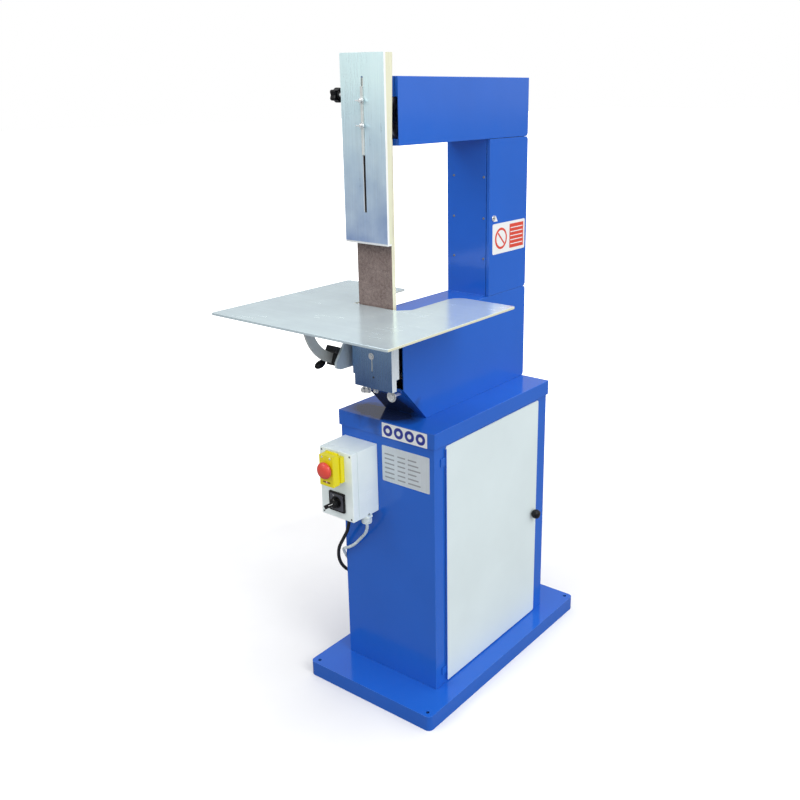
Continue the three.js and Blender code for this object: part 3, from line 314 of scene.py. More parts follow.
# depth of the guard's painted highlight behind the front, and its height along the foot
GUARD_FOLD_HIGHLIGHTS = (GUARD_LOW.y + 5.5, GUARD_LOW.z + 3.5)
LOOP_CENTRE = tuple((low + high) / 2 for low, high in zip(*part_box("abrasive_belt")))

# 0.75 makes the paler edges strong enough to read as a painted highlight
paint_blue = enamel("blue_enamel", BLUE, WORN_AND_HIGHLIT_BLUE, edge_wear_and_highlight_share=0.75)
# paint_foot carries the painted shade patch in front of the frame's foot
paint_foot = enamel("blue_enamel_painted_shade", BLUE, WORN_AND_HIGHLIT_BLUE, edge_wear_and_highlight_share=0.75, shade_patch=FRAME_FOOT)
paint_white = enamel("pale_enamel", rgb(0.71, 0.81, 0.825), rgb(0.84, 0.88, 0.88), 0.34, 0.4, 0.4)
box_grey = plastic("pale_grey_plastic", rgb(0.88, 0.99, 0.99), 0.5)
sheet_steel = steel("galvanised_sheet", rgb(0.70, 0.80, 0.85), UPRIGHT_LINES, 0.36, 0.45)
# the guard: painted shade darker towards the foot, and painted highlights on its folds
guard_steel = steel("guard_sheet", rgb(0.76, 0.98, 1.0), UPRIGHT_LINES, 0.34, 0.5, 0.25,
                    lower=rgb(0.235, 0.34, 0.62), heights=(1150, 1500), edge=CREAM, fold_highlights=GUARD_FOLD_HIGHLIGHTS)
# the casing: painted shade darker towards the foot
casing_steel = steel("casing_sheet", rgb(0.30, 0.47, 0.70), UPRIGHT_LINES, 0.26, 0.8, 0.2,
                     lower=rgb(0.070, 0.140, 0.34), heights=(825, 950), edge=rgb(0.84, 0.92, 0.96),
                     lines_seen=0.6)
table_steel = steel("ground_table", rgb(0.78, 0.93, 1.0), SIDEWAYS_LINES, 0.19, 0.62, 0.05, edge=CREAM,
                    lines_seen=0.3)
arc_steel = steel("bright_arc", rgb(0.74, 0.78, 0.76), NO_LINES, 0.35, 0.3)
machined = steel("machined_steel", rgb(0.55, 0.56, 0.58), NO_LINES, 0.35, 0.9)
cream = steel("platen_steel", rgb(0.78, 0.76, 0.58), (300.0, 300.0, 12.0), 0.5, 0.25)
zinc = plated("bright_zinc", rgb(0.88, 0.90, 0.91))
yellow_zinc = plated("yellow_zinc", rgb(0.72, 0.62, 0.40), 0.3)
black_iron = iron("black_iron", rgb(0.022, 0.023, 0.025))
grey_iron = iron("grey_iron", rgb(0.16, 0.17, 0.18))
motor_paint = iron("motor_enamel", rgb(0.10, 0.14, 0.20), 0.42)
black_plastic = plastic("black_plastic", rgb(0.005, 0.005, 0.006), 0.24, 0.7, 0.1, specular=0.22)
dark_plastic = plastic("dark_grey_plastic", rgb(0.075, 0.08, 0.10), 0.45)
yellow_plastic = plastic("yellow_plastic", rgb(0.85, 0.75, 0.005), 0.35, 0.7, 0.1)
red_plastic = plastic("red_plastic", rgb(0.80, 0.075, 0.05), 0.32, 0.5, 0.15)
green_plastic = plastic("green_plastic", rgb(0.02, 0.32, 0.08), 0.35)
black_rubber = rubber("black_rubber", rgb(0.007, 0.007, 0.008))
grey_sheath = rubber("grey_sheath", rgb(0.66, 0.75, 0.78))
belt_abrasive = abrasive("coated_abrasive", LOOP_CENTRE)
print_white = printed("print_white", rgb(0.86, 0.88, 0.88))
print_red = printed("print_red", rgb(0.72, 0.06, 0.03))
print_pink = printed("print_pale_red", rgb(0.86, 0.62, 0.58))
print_blue = printed("print_blue", rgb(0.015, 0.03, 0.30))
# painted shade, brown on the yellow flap, for the flap's latch slot
painted_slot_shade_brown = printed("painted_slot_shade_brown", rgb(0.22, 0.10, 0.02))
# also painted shade in slots and holes: the latch's slot, the fan cowl's slots and the casing's pin hole
dark_print_and_shade = printed("dark_print_and_shade", rgb(0.03, 0.03, 0.035))
print_grey = printed("print_grey", rgb(0.30, 0.32, 0.34))
plate_grey = steel("data_plate", rgb(0.70, 0.76, 0.80), (300.0, 300.0, 8.0), 0.42, 0.2)


# ---------------------------------------------------------------- shape helpers, in millimetres

SHARP_ANGLE = math.radians(35)


def box_mm(node):
    low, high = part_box(node)
    return low / MM, high / MM


def spun(axis, along, first, second):
    """A point by its place along an axis and its two other coordinates, in x, y, z order."""
    if axis == "x":
        return (along, first, second)
    if axis == "y":
        return (first, along, second)
    return (first, second, along)


def linked(name, mesh, material):
    mesh.materials.append(material)
    made = bpy.data.objects.new(name, mesh)
    bpy.context.scene.collection.objects.link(made)
    return made


def mesh_piece(name, points, faces, material, bevel=0.0):
    mesh = bpy.data.meshes.new(name)
    mesh.from_pydata([Vector(point) * MM for point in points], [], faces)
    shape = bmesh.new()
    shape.from_mesh(mesh)
    bmesh.ops.remove_doubles(shape, verts=shape.verts, dist=0.001 * MM)
    bmesh.ops.recalc_face_normals(shape, faces=shape.faces)
    for edge in shape.edges:
        edge.smooth = len(edge.link_faces) != 2 or edge.calc_face_angle() < SHARP_ANGLE
    for face in shape.faces:
        face.smooth = True
    shape.to_mesh(mesh)
    shape.free()
    made = linked(name, mesh, material)
    if bevel:
        round_edges(made, bevel)
    return made


def round_edges(obj, width):
    modifier = obj.modifiers.new("rounded", "BEVEL")
    modifier.width = width * MM
    modifier.segments = 2
    modifier.limit_method = "ANGLE"
    modifier.angle_limit = SHARP_ANGLE
    modifier.harden_normals = True


def plug(radius, start, end):
    """The profile of a plain solid cylinder."""
    return [(0, start), (radius, start), (radius, end), (0, end)]


def hoop(inner, outer, start, end):
    """The closed profile of a plain ring."""
    return [(inner, start), (outer, start), (outer, end), (inner, end), (inner, start)]


def lathe(name, axis, profile, first, second, material, steps=64, bevel=0.0):
    """A turned piece: the profile is (radius, place along the axis) pairs, from axis to axis or closed."""
    points, faces = [], []
    count = len(profile)
    for step in range(steps):
        c, s = math.cos(2 * math.pi * step / steps), math.sin(2 * math.pi * step / steps)
        points += [spun(axis, along, first + radius * c, second + radius * s) for radius, along in profile]
    for step in range(steps):
        here, there = step * count, ((step + 1) % steps) * count
        for i in range(count - 1):
            faces.append((here + i, here + i + 1, there + i + 1, there + i))
    return mesh_piece(name, points, without_repeats(points, faces), material, bevel)


def without_repeats(points, faces):
    """The faces with corners that fall on the same point taken once, and none left with under three."""
    kept = []
    for face in faces:
        corners = []
        for index in face:
            if all((Vector(points[index]) - Vector(points[other])).length > 1e-4 for other in corners):
                corners.append(index)
        if len(corners) > 2:
            kept.append(corners)
    return kept


def prism(name, axis, outline, low, high, material, bevel=0.0):
    """An outline, in the two other coordinates in x, y, z order, given thickness along an axis."""
    count = len(outline)
    points = [spun(axis, end, *corner) for end in (low, high) for corner in outline]
    faces = [tuple(range(count)), tuple(range(2 * count - 1, count - 1, -1))]
    faces += [(i, (i + 1) % count, count + (i + 1) % count, count + i) for i in range(count)]
    return mesh_piece(name, points, faces, material, bevel)


def brick(name, low, high, material, bevel=0.5):
    return prism(name, "z", rectangle(low[0], high[0], low[1], high[1]), low[2], high[2], material, bevel)


def tube(name, points, radius, material, sides=12):
    """A round bar along a path of points, closed at both ends."""
    path = [Vector(point) for point in points]
    rings, faces = [], []
    side = Vector((0.31, 0.95, 0.07))
    for i, point in enumerate(path):
        ahead = (path[min(i + 1, len(path) - 1)] - path[max(i - 1, 0)]).normalized()
        side = (side - ahead * side.dot(ahead)).normalized()
        up = ahead.cross(side)
        rings += [point + (side * math.cos(a) + up * math.sin(a)) * radius
                  for a in (2 * math.pi * k / sides for k in range(sides))]
    for i in range(len(path) - 1):
        for k in range(sides):
            a, b = i * sides + k, i * sides + (k + 1) % sides
            faces.append((a, b, b + sides, a + sides))
    faces.append(tuple(range(sides)))
    faces.append(tuple(range(len(rings) - 1, len(rings) - 1 - sides, -1)))
    return mesh_piece(name, rings, faces, material)


def circle(radius, first=0.0, second=0.0, sides=48, start=0.0):
    turns = [start + 2 * math.pi * i / sides for i in range(sides)]
    return [(first + radius * math.cos(a), second + radius * math.sin(a)) for a in turns]


def rectangle(first_low, first_high, second_low, second_high):
    return [(first_low, second_low), (first_high, second_low),
            (first_high, second_high), (first_low, second_high)]


def rounded(first_low, first_high, second_low, second_high, radius, steps=6):
    """A rectangle with rounded corners."""
    left, right = first_low + radius, first_high - radius
    foot, top = second_low + radius, second_high - radius
    corners = [(right, foot, -90), (right, top, 0), (left, top, 90), (left, foot, 180)]
    outline = []
    for first, second, start in corners:
        for step in range(steps + 1):
            angle = math.radians(start + 90 * step / steps)
            outline.append((first + radius * math.cos(angle), second + radius * math.sin(angle)))
    return outline


def turned_about(points, centre, degrees):
    angle = math.radians(degrees)
    c, s = math.cos(angle), math.sin(angle)
    return [(centre[0] + (u - centre[0]) * c - (v - centre[1]) * s,
             centre[1] + (u - centre[0]) * s + (v - centre[1]) * c) for u, v in points]


def rides(obj, body):
    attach(obj, body)


def stands_for(obj, node, slot, *others):
    """obj is shown instead of a CAD node, and so are the others, which ride with it."""
    body = frame["nodes"][node]["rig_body"]
    for one in (obj, *others):
        rides(one, body)
    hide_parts(node)


# ---------------------------------------------------------------- CAD nodes in their finishes


def dress(node, material, bevel):
    """A CAD node in its finish: welded, its flats joined up and its sharp edges rounded off."""
    obj = frame["nodes"][node]
    mesh = obj.data
    for name in ("custom_normal", "sharp_edge", "sharp_face"):
        if name in mesh.attributes:
            mesh.attributes.remove(mesh.attributes[name])
    mesh.materials.clear()
    mesh.materials.append(material)
    for polygon in mesh.polygons:
        polygon.use_smooth = True
    weld = obj.modifiers.new("welded", "WELD")
    weld.merge_threshold = 0.01 * MM
    flats = obj.modifiers.new("flats", "DECIMATE")
    flats.decimate_type = "DISSOLVE"
    flats.angle_limit = math.radians(0.5)
    round_edges(obj, bevel)


def dress_cad():
    """Each CAD node that is shown as it is, with its finish and the width of its rounded edges."""
    finishes = {
        "base_tray": (paint_blue, 2.0),
        "cabinet_body": (paint_blue, 1.2),
        "cabinet_cap": (paint_foot, 2.4),
        "cabinet_door": (paint_white, 0.9),
        "door_hinge_pin": (paint_blue, 0.3),
        "frame_shell": (paint_foot, 1.0),
        "arm_cover": (paint_blue, 1.0),
        "column_cover": (paint_blue, 1.0),
        "lower_cover": (paint_foot, 1.0),
        "arm_hinge_pin": (paint_blue, 0.3),
        "column_hinge_pin": (paint_blue, 0.3),
        "lower_hinge_pin": (paint_blue, 0.3),
        "lower_front_axle": (machined, 0.5),
        "upper_front_axle": (machined, 0.5),
        "bearing_housing": (grey_iron, 0.6),
        "pulley_guard": (paint_blue, 1.2),
        "v_belt": (black_rubber, 0.8),
        "motor_stand": (sheet_steel, 0.8),
        "motor_shaft": (machined, 0.8),
        "motor_pulley": (grey_iron, 0.4),
        "driven_pulley": (grey_iron, 0.4),
        "drive_shaft": (machined, 0.8),
        "abrasive_belt": (belt_abrasive, 0.2),
        "platen": (cream, 0.6),
        "guard_bracket": (arc_steel, 0.5),
        "casing_bracket": (arc_steel, 0.5),
        "tilt_bracket": (sheet_steel, 0.8),
        "clamp_block": (black_iron, 1.0),
        "pivot_pin": (zinc, 0.6),
        "pivot_lug": (machined, 0.6),
        "control_box": (box_grey, 1.2),
        "box_lid": (box_grey, 1.6),
        "estop_base": (yellow_plastic, 1.2),
        "estop_flap": (yellow_plastic, 1.6),
        "switch_plate": (black_plastic, 0.8),
        "black_cable": (black_rubber, 0.8),
        "grey_cable": (grey_sheath, 0.8),
        "tracking_block": (black_iron, 1.5),
        "tension_slide": (machined, 0.8),
        "tension_lever": (black_iron, 0.8),
        "upper_guard": (guard_steel, 0.5),
        "lower_casing": (casing_steel, 0.5),
        "work_table": (table_steel, 0.9),
        "trunnion_arc": (arc_steel, 0.6),
    }
    for node, (material, bevel) in finishes.items():
        dress(node, material, bevel)


# ---------------------------------------------------------------- turned and moulded pieces


def wheels():
    """Crowned wheels with a web and a hub. The drive wheel's hub stands out on the right side only."""
    hub, web, rim, crown_drop = 20, 5, 7, 2
    for node in ("upper_front_wheel", "upper_rear_wheel", "lower_front_wheel", "drive_wheel"):
        low, high = box_mm(node)
        centre = (low + high) / 2
        radius, half = max(high.y - low.y, high.z - low.z) / 2, (high.x - low.x) / 2
        driven = node == "drive_wheel"
        bore, hub_end = (12.8, 22) if driven else (8.5, 18)
        left_hub = [(bore, -web)] if driven else [(bore, -hub_end), (hub, -hub_end), (hub, -web)]
        crown = [(radius - crown_drop * t**2, half * t) for t in (i / 5 for i in range(-5, 6))]
        profile = [*left_hub, (radius - rim, -web), (radius - rim, -half), *crown, (radius - rim, half),
                   (radius - rim, web), (hub, web), (hub, hub_end), (bore, hub_end), left_hub[0]]
        made = lathe(node + "_turned", "x", profile, centre.y, centre.z, machined, 96, 0.6)
        stands_for(made, node, "wheel_aluminium")


def tracking_knob():
    """A star knob on a collar, and its screw."""
    low, high = box_mm("tracking_knob")
    y, z = (low.y + high.y) / 2, (low.z + high.z) / 2
    corners, lobes, middle_radius, lobe_depth = 120, 5, 14.6, 2.2
    head_end = low.x + 16
    star = []
    for i in range(corners):
        angle = 2 * math.pi * i / corners
        radius = middle_radius + lobe_depth * math.cos(lobes * angle)
        star.append((y + radius * math.cos(angle), z + radius * math.sin(angle)))
    head = prism("tracking_star", "x", star, low.x, head_end, black_plastic, 2.5)
    boss = lathe("tracking_star_boss", "x", plug(9, head_end, head_end + 3.5), y, z, black_plastic, 48, 0.6)
    stem = [(0, head_end + 3), (5, head_end + 3), (5, high.x - 1.5), (3.5, high.x), (0, high.x)]
    screw = lathe("tracking_screw", "x", stem, y, z, zinc, 48)
    stands_for(head, "tracking_knob", "black_plastic", boss, screw)


def door_knob():
    """A ball knob on a neck, and the tongue that it turns behind the door."""
    low, high = box_mm("door_knob")
    y, z, face = (low.y + high.y) / 2, low.z + 13.0, high.x
    neck = 141
    ball = [(7, 9), (9.5, 10.6), (12, 13.4), (13, 17), (13, 20.5), (12.2, 24.5), (10, 28)]
    profile = [(0, neck), (4, neck), (4, neck + 8), *((radius, neck + out) for radius, out in ball),
               (6, face - 0.6), (3, face - 0.1), (0, face)]
    head = lathe("door_knob_head", "x", profile, y, z, black_plastic, 64)
    tongue = brick("door_knob_tongue", (low.x, y - 6, z - 6), (neck + 1.4, y + 6, high.z), zinc, 0.6)
    stands_for(head, "door_knob", "black_plastic", tongue)


def cover_latch():
    """A slotted quarter-turn lock, and its tongue behind the cover."""
    low, high = box_mm("cover_latch")
    y, z, face = (low.y + high.y) / 2, low.z + 7.0, high.x
    inner_end, seat = 46, 64.9
    profile = [(0, inner_end), (4, inner_end), (4, seat), (7, seat), (7, face - 0.5), (6.4, face), (0, face)]
    head = lathe("latch_head", "x", profile, y, z, zinc, 48, 0.2)
    # painted shade: a dark bar on the face for the slot
    slot = brick("latch_slot", (face - 0.2, y - 4.6, z - 0.8), (face + 0.1, y + 4.6, z + 0.8), dark_print_and_shade, 0)
    tongue = brick("latch_tongue", (inner_end, y - 4.5, z - 4.5), (inner_end + 4.6, y + 4.5, z + 12),
                   zinc, 0.6)
    stands_for(head, "cover_latch", "machined_steel", slot, tongue)


def wing_screws():
    """A stem with a collar, and two wings that sweep forwards."""
    for node in ("upper_guard_screw", "lower_guard_screw"):
        low, high = box_mm(node)
        z, front = (low.z + high.z) / 2, low.y
        head = front + 9
        profile = [(0, front + 1.6), (2.6, front + 1.6), (4, front + 3), (4, head - 1.5), (6.5, head - 1.5),
                   (6.5, head), (2, head), (2, high.y), (0, high.y)]
        stem = lathe(node + "_stem", "y", profile, 0, z, zinc, 48, 0.2)
        wing = [(3, head - 6.4), (5.5, head - 7.6), (8.5, front + 0.4), (10, front), (10.6, front + 1.5),
                (10, head - 4.2), (7, head - 2.4), (3, head - 1.2)]
        right = prism(node + "_wing_right", "z", wing, z - 1.3, z + 1.3, zinc, 0.6)
        left = prism(node + "_wing_left", "z", [(-x, y) for x, y in wing], z - 1.3, z + 1.3, zinc, 0.6)
        stands_for(stem, node, "machined_steel", right, left)


def tension_spring():
    low, high = box_mm("tension_spring")
    x, y = (low.x + high.x) / 2, (low.y + high.y) / 2
    turns, steps, wire, seat = 6, 24, 1.1, 1.2
    radius = (high.x - low.x) / 2 - wire
    points = []
    for i in range(turns * steps + 1):
        angle = 2 * math.pi * i / steps
        height = low.z + seat + (high.z - low.z - 2 * seat) * i / (turns * steps)
        points.append((x + radius * math.cos(angle), y + radius * math.sin(angle), height))
    stands_for(tube("tension_coil", points, wire, zinc), "tension_spring", "machined_steel")


def motor():
    """A finned motor: barrel, cooling fins along its length, end shield, fan cowl, terminal box and feet."""
    low, high = box_mm("motor_body")
    shaft_height = 335.0
    y, z, left, right = (low.y + high.y) / 2, shaft_height, low.x, high.x
    cowl_from = right - 34
    fins, fin_root, fin_tip = 40, 66.0, 72.0
    outline = []
    for i in range(fins):
        angle = 2 * math.pi * i / fins
        for turn, radius in ((-0.028, fin_root), (-0.018, fin_tip), (0.018, fin_tip), (0.028, fin_root)):
            outline.append((y + radius * math.cos(angle + turn), z + radius * math.sin(angle + turn)))
    barrel = prism("motor_barrel", "x", outline, left + 11, cowl_from, motor_paint)
    hole = 12.3
    profile = [(hole, left), (30, left), (34, left + 3), (60, left + 4), (75, left + 7), (75, left + 12),
               (hole, left + 12), (hole, left)]
    shield = lathe("motor_end_shield", "x", profile, y, z, motor_paint, 72, 0.6)
    profile = [(0, cowl_from), (75, cowl_from), (75, right - 6), (69, right), (0, right)]
    cowl = lathe("motor_fan_cowl", "x", profile, y, z, motor_paint, 72, 1.0)
    # painted shade: dark rings laid on the cowl's face for its slots
    slots = []
    for ring, radius in enumerate((20, 32, 44, 56)):
        profile = hoop(radius - 2.4, radius + 2.4, right - 0.4, right + 0.15)
        slots.append(lathe(f"motor_cowl_slot_{ring + 1}", "x", profile, y, z, dark_print_and_shade, 72))
    feet = brick("motor_feet", (-20, y - 62, low.z), (80, y + 62, low.z + 14), motor_paint, 2.0)
    lid_under = high.z - 4
    terminal = brick("motor_terminal_box", (-5, y - 40, z + 66), (75, y + 40, lid_under), motor_paint, 3.0)
    lid = brick("motor_terminal_lid", (-7, y - 42, lid_under), (77, y + 42, high.z), motor_paint, 1.6)
    stands_for(barrel, "motor_body", "motor_paint", shield, cowl, feet, terminal, lid, *slots)


def clamp_lever():
    """Hub, flat arm and an oval grip, leaning forwards and down."""
    lean = math.radians(36)
    axis_y, axis_z = -304.0, 885.0
    hub_left, hub_right = -131, -118.5

    def at(distance, across=0.0):
        return (axis_y - distance * math.cos(lean) + across * math.sin(lean),
                axis_z - distance * math.sin(lean) - across * math.cos(lean))

    profile = [(0, hub_left), (8.5, hub_left), (10, hub_left + 1.4), (10, hub_right), (0, hub_right)]
    hub = lathe("clamp_hub", "x", profile, axis_y, axis_z, black_plastic, 48, 0.4)
    outline = [at(24, -4), at(0, -9), at(0, 9), at(24, 4)]
    arm = prism("clamp_arm", "x", outline, hub_left + 2, hub_left + 10, black_plastic, 1.2)
    shape = bmesh.new()
    bmesh.ops.create_uvsphere(shape, u_segments=40, v_segments=24, radius=1.0)
    centre = Vector((hub_left + 4, *at(33))) * MM
    turn = Matrix.Rotation(math.radians(12), 4, "X")
    shape.transform(Matrix.Translation(centre) @ turn @ Matrix.Diagonal((*in_metres((8, 17, 9.5)), 1)))
    for face in shape.faces:
        face.smooth = True
    grip = bpy.data.meshes.new("clamp_grip")
    shape.to_mesh(grip)
    shape.free()
    oval = linked("clamp_grip", grip, black_plastic)
    screw = lathe("clamp_screw", "x", plug(4.6, hub_left - 2, hub_left), axis_y, axis_z, zinc, 32, 0.5)
    stands_for(hub, "clamp_lever", "black_plastic", arm, oval, screw)


# ---------------------------------------------------------------- controls


def push_buttons():
    for node, material, slot in (("start_button", green_plastic, "green_plastic"),
                                 ("stop_button", red_plastic, "red_plastic")):
        low, high = box_mm(node)
        x, z, front = (low.x + high.x) / 2, (low.z + high.z) / 2, low.y
        profile = [(0, front + 0.5), (5.5, front + 0.2), (7, front), (7.8, front + 0.8), (8, front + 2),
                   (8, high.y), (0, high.y)]
        stands_for(lathe(node + "_cap", "y", profile, x, z, material), node, slot)


def mushroom():
    """The domed head of the emergency stop, on its stem."""
    low, high = box_mm("estop_mushroom")
    x, z, front, back = (low.x + high.x) / 2, (low.z + high.z) / 2, low.y, high.y
    radius = (high.x - low.x) / 2
    dome = [(0, 0), (6, 0.2), (11, 1.0), (15.5, 2.7), (18.6, 5.0), (20.2, 7.4), (radius, 9.6), (radius, 11.4),
            (20.2, 12.7), (19, 13.5), (8.6, 13.5), (7, 13.9)]
    profile = [*((across, front + depth) for across, depth in dome), (7, back), (0, back)]
    stands_for(lathe("mushroom_head", "y", profile, x, z, red_plastic, 80), "estop_mushroom", "red_plastic")


def flap_details():
    """The flap's knuckles and screws, its latch slot and pin, and the collar round the mushroom's stem."""
    flap = "estop_flap"
    low, high = box_mm(flap)
    front, middle = low.y, (low.x + high.x) / 2
    hinge_y, hinge_z = high.y - 0.9, high.z + 1.0
    for index, (start, end, owner) in enumerate(((2, 12, "stand"), (12.4, 30.6, flap), (31, 41, "stand"))):
        profile = plug(2.6, low.x + start, low.x + end)
        knuckle = lathe(f"flap_knuckle_{index + 1}", "x", profile, hinge_y, hinge_z, yellow_plastic, 32, 0.4)
        rides(knuckle, owner)
    screw = [(0, front - 0.7), (2.0, front - 0.6), (2.6, front), (0, front + 0.5)]
    for index, x in enumerate((low.x + 9, high.x - 9)):
        rides(lathe(f"flap_screw_{index + 1}", "y", screw, x, high.z - 5.0, zinc, 24), flap)
    # painted shade: a brown patch on the flap's face for its latch slot
    slot = rounded(middle - 12, middle + 12, low.z + 8, low.z + 12, 1.9)
    rides(prism("flap_latch_slot", "y", slot, front - 0.25, front + 0.4, painted_slot_shade_brown), flap)
    pin = [(0, front - 1.1), (1.8, front - 1.0), (2.4, front - 0.4), (2.4, front), (0, front)]
    rides(lathe("flap_latch_pin", "y", pin, middle, low.z + 10, print_pink, 24), flap)
    head_low, head_high = box_mm("estop_mushroom")
    x, z = (head_low.x + head_high.x) / 2, (head_low.z + head_high.z) / 2
    collar = [(7.6, front - 0.3), (11.0, front - 0.3), (11.5, front), (7.6, front), (7.6, front - 0.3)]
    rides(lathe("flap_stem_collar", "y", collar, x, z, yellow_plastic, 48), flap)


def switch():
    """The selector: a face and two plain marks on its plate, and a hub and a pointing bar that turn."""
    low, high = box_mm("switch_plate")
    x, z, bezel_front = (low.x + high.x) / 2, (low.z + high.z) / 2, high.y - 4.4
    field = rounded(low.x + 4, high.x - 4, low.z + 4, high.z - 4, 3)
    face = prism("switch_face", "y", field, bezel_front - 0.6, bezel_front + 0.4, dark_plastic, 0.3)
    rides(face, "stand")
    mark = rectangle(x + 17, x + 20.5, z - 0.9, z + 0.9)
    for index, degrees in enumerate((122, 212)):
        near, far = bezel_front - 0.75, bezel_front - 0.5
        turned = turned_about(mark, (x, z), degrees)
        rides(prism(f"switch_mark_{index + 1}", "y", turned, near, far, print_white), "stand")
    handle_low, handle_high = box_mm("switch_handle")
    front, back = handle_low.y, handle_high.y
    profile = [(0, front + 7.5), (10, front + 7.5), (12, front + 9.5), (12, front + 18), (4, front + 18),
               (4, back), (0, back)]
    hub = lathe("switch_hub", "y", profile, x, z, black_plastic, 64, 0.2)
    at_rest = 32
    outline = [(x - 24, z - 4), (x - 23, z - 5), (x + 12, z - 5), (x + 14, z - 3), (x + 14, z + 3),
               (x + 12, z + 5), (x - 23, z + 5), (x - 24, z + 4)]
    outline = turned_about(outline, (x, z), at_rest)
    bar = prism("switch_bar", "y", outline, front, front + 14, black_plastic, 1.0)
    stroke = turned_about(rectangle(x - 7, x + 10, z - 0.6, z + 0.9), (x, z), at_rest)
    pointer = prism("switch_pointer", "y", stroke, front - 0.2, front + 0.3, print_white)
    stands_for(hub, "switch_handle", "black_plastic", bar, pointer)


def box_details():
    """The lid's four screws, and a knock-out ring and three moulded lines on the box's right side."""
    low, high = box_mm("box_lid")
    screw = [(0, low.y - 0.5), (2.1, low.y - 0.5), (2.5, low.y - 0.1), (2.5, low.y + 0.4), (0, low.y + 0.4)]
    places = ((x, z) for x in (low.x + 7, high.x - 7) for z in (low.z + 7, high.z - 7))
    for index, (x, z) in enumerate(places):
        rides(lathe(f"lid_screw_{index + 1}", "y", screw, x, z, dark_print_and_shade, 24), "stand")
    body_low, body_high = box_mm("control_box")
    side, y = body_high.x, (body_low.y + body_high.y) / 2
    ring = lathe("knock_out", "x", hoop(8.2, 9.4, side - 0.2, side + 0.35), y, body_low.z + 34, box_grey, 48)
    rides(ring, "stand")
    for index in range(3):
        z = body_low.z + 52 + 5 * index
        low, high = (side - 0.2, y - 12, z), (side + 0.3, y + 12, z + 1.2)
        rides(brick(f"moulded_line_{index + 1}", low, high, box_grey, 0.1), "stand")


def glands():
    """Hexagonal gland nuts and domes under the control box, one pair for each cable."""
    top, y = box_mm("control_box")[0].z, -285.0
    grey_x, black_x = box_mm("grey_cable")[1].x - 13, box_mm("black_cable")[1].x - 9
    rows = (  # colour, place, nut radius and height, dome radius and height, dome bevel, material and slot
        ("grey", grey_x, 15, 5.5, 12.6, 22, 2.4, box_grey, "box_plastic"),
        ("black", black_x, 11, 5.0, 8.6, 14, 1.6, black_plastic, "black_plastic"),
    )
    for name, x, nut, joint, radius, end, bevel, material, slot in rows:
        hexagon = circle(nut, x, y, 6, math.pi / 6)
        rides(prism(f"{name}_gland_ring", "z", hexagon, top - joint, top - 0.4, material, 0.8), "stand")
        dome = prism(f"{name}_gland_dome", "z", circle(radius, x, y), top - end, top - joint, material, bevel)
        rides(dome, "stand")


def entry_nuts():
    """The hexagonal nuts where both cables enter the cabinet's left wall."""
    wall = box_mm("cabinet_body")[0].x
    rows = (
        ("black_entry_nut", -224, 264, 11.5, black_plastic, "black_plastic"),
        ("grey_entry_nut", -229, 294, 11.1, yellow_zinc, "machined_steel"),
    )
    for name, y, z, across, material, slot in rows:
        nut = prism(name, "x", circle(across, y, z, 6), wall - 4.4, wall - 0.4, material, 0.6)
        rides(nut, "stand")


# ---------------------------------------------------------------- fasteners and small fittings


def hex_head(name, axis, first, second, face, height, across, washer=0.0):
    """A zinc hexagon head, and a washer under it, standing on a face that looks down an axis."""
    thick = 1.6
    if washer:
        plate = prism(name + "_washer", axis, circle(washer, first, second), face - thick, face, zinc, 0.3)
        rides(plate, "stand")
        face -= thick
    head = prism(name, axis, circle(across, first, second, 6, 0.35), face - height, face, zinc, 0.6)
    rides(head, "stand")


def stud(name, radius, x, z, front, back):
    rides(prism(name, "y", circle(radius, x, z, 24), front, back, zinc, 0.3), "stand")


def column_screws():
    """Six pan heads down the front of the column."""
    face, radius, height = 85.5, 3.2, 1.6
    profile = [(0, face - height), (radius * 0.55, face - height * 0.92), (radius * 0.9, face - height * 0.5),
               (radius, face), (0, face + 0.4)]
    heights, sides = (1072, 1173, 1274), (-44, 47)
    for i, z in enumerate(heights):
        for j, x in enumerate(sides):
            head = lathe(f"column_screw_{i + 1}_{j + 1}", "y", profile, x, z, grey_iron, 32)
            rides(head, "stand")


def strap_bolts():
    """The two bolts that show in the guard's slot."""
    top = box_mm("guard_bracket")[1].z
    for index, z in enumerate((top - 8, top - 26)):
        hex_head(f"strap_bolt_{index + 1}", "y", 0, z, -260.3, 3.5, 5.0)


def casing_fittings():
    """The casing's slot screw and pin hole, and the studs, bolts and cup washer under its shelf."""
    low, high = box_mm("lower_casing")
    hex_head("casing_screw", "y", 0, high.z - 42, low.y - 0.3, 3.4, 4.6, 8.0)
    # painted shade: a dark disc on the face for the pin hole
    hole = [(0, low.y - 0.2), (2.4, low.y - 0.2), (2.8, low.y + 0.1), (0, low.y + 0.3)]
    rides(lathe("casing_pin_hole", "y", hole, 4, low.z + 28, dark_print_and_shade, 32), "lower_casing")
    foot_front = -268
    for index, (x, z, across) in enumerate(((-47, 802, 6.6), (-33, 804, 6.6), (-9, 807, 4.6))):
        stud(f"foot_stud_{index + 1}", 3, x, z, foot_front, -244)
        hex_head(f"foot_bolt_{index + 1}", "y", x, z, foot_front, 6.0, across, across + 1.6)
    x, z, cup_front = 41, 803, foot_front - 1
    stud("corner_stud", 4, x, z, foot_front, -243)
    cup = [(0, 0), (5.5, 0), (9.6, -2.5), (12.4, -5), (12.9, -5), (12.9, -3.6), (10.4, -0.8), (6.4, 1.6),
           (0, 1.6)]
    profile = [(radius, cup_front + depth) for radius, depth in cup]
    rides(lathe("corner_cup", "y", profile, x, z, zinc, 64), "stand")
    hex_head("corner_bolt", "y", x, z, cup_front, 6.5, 7.0)


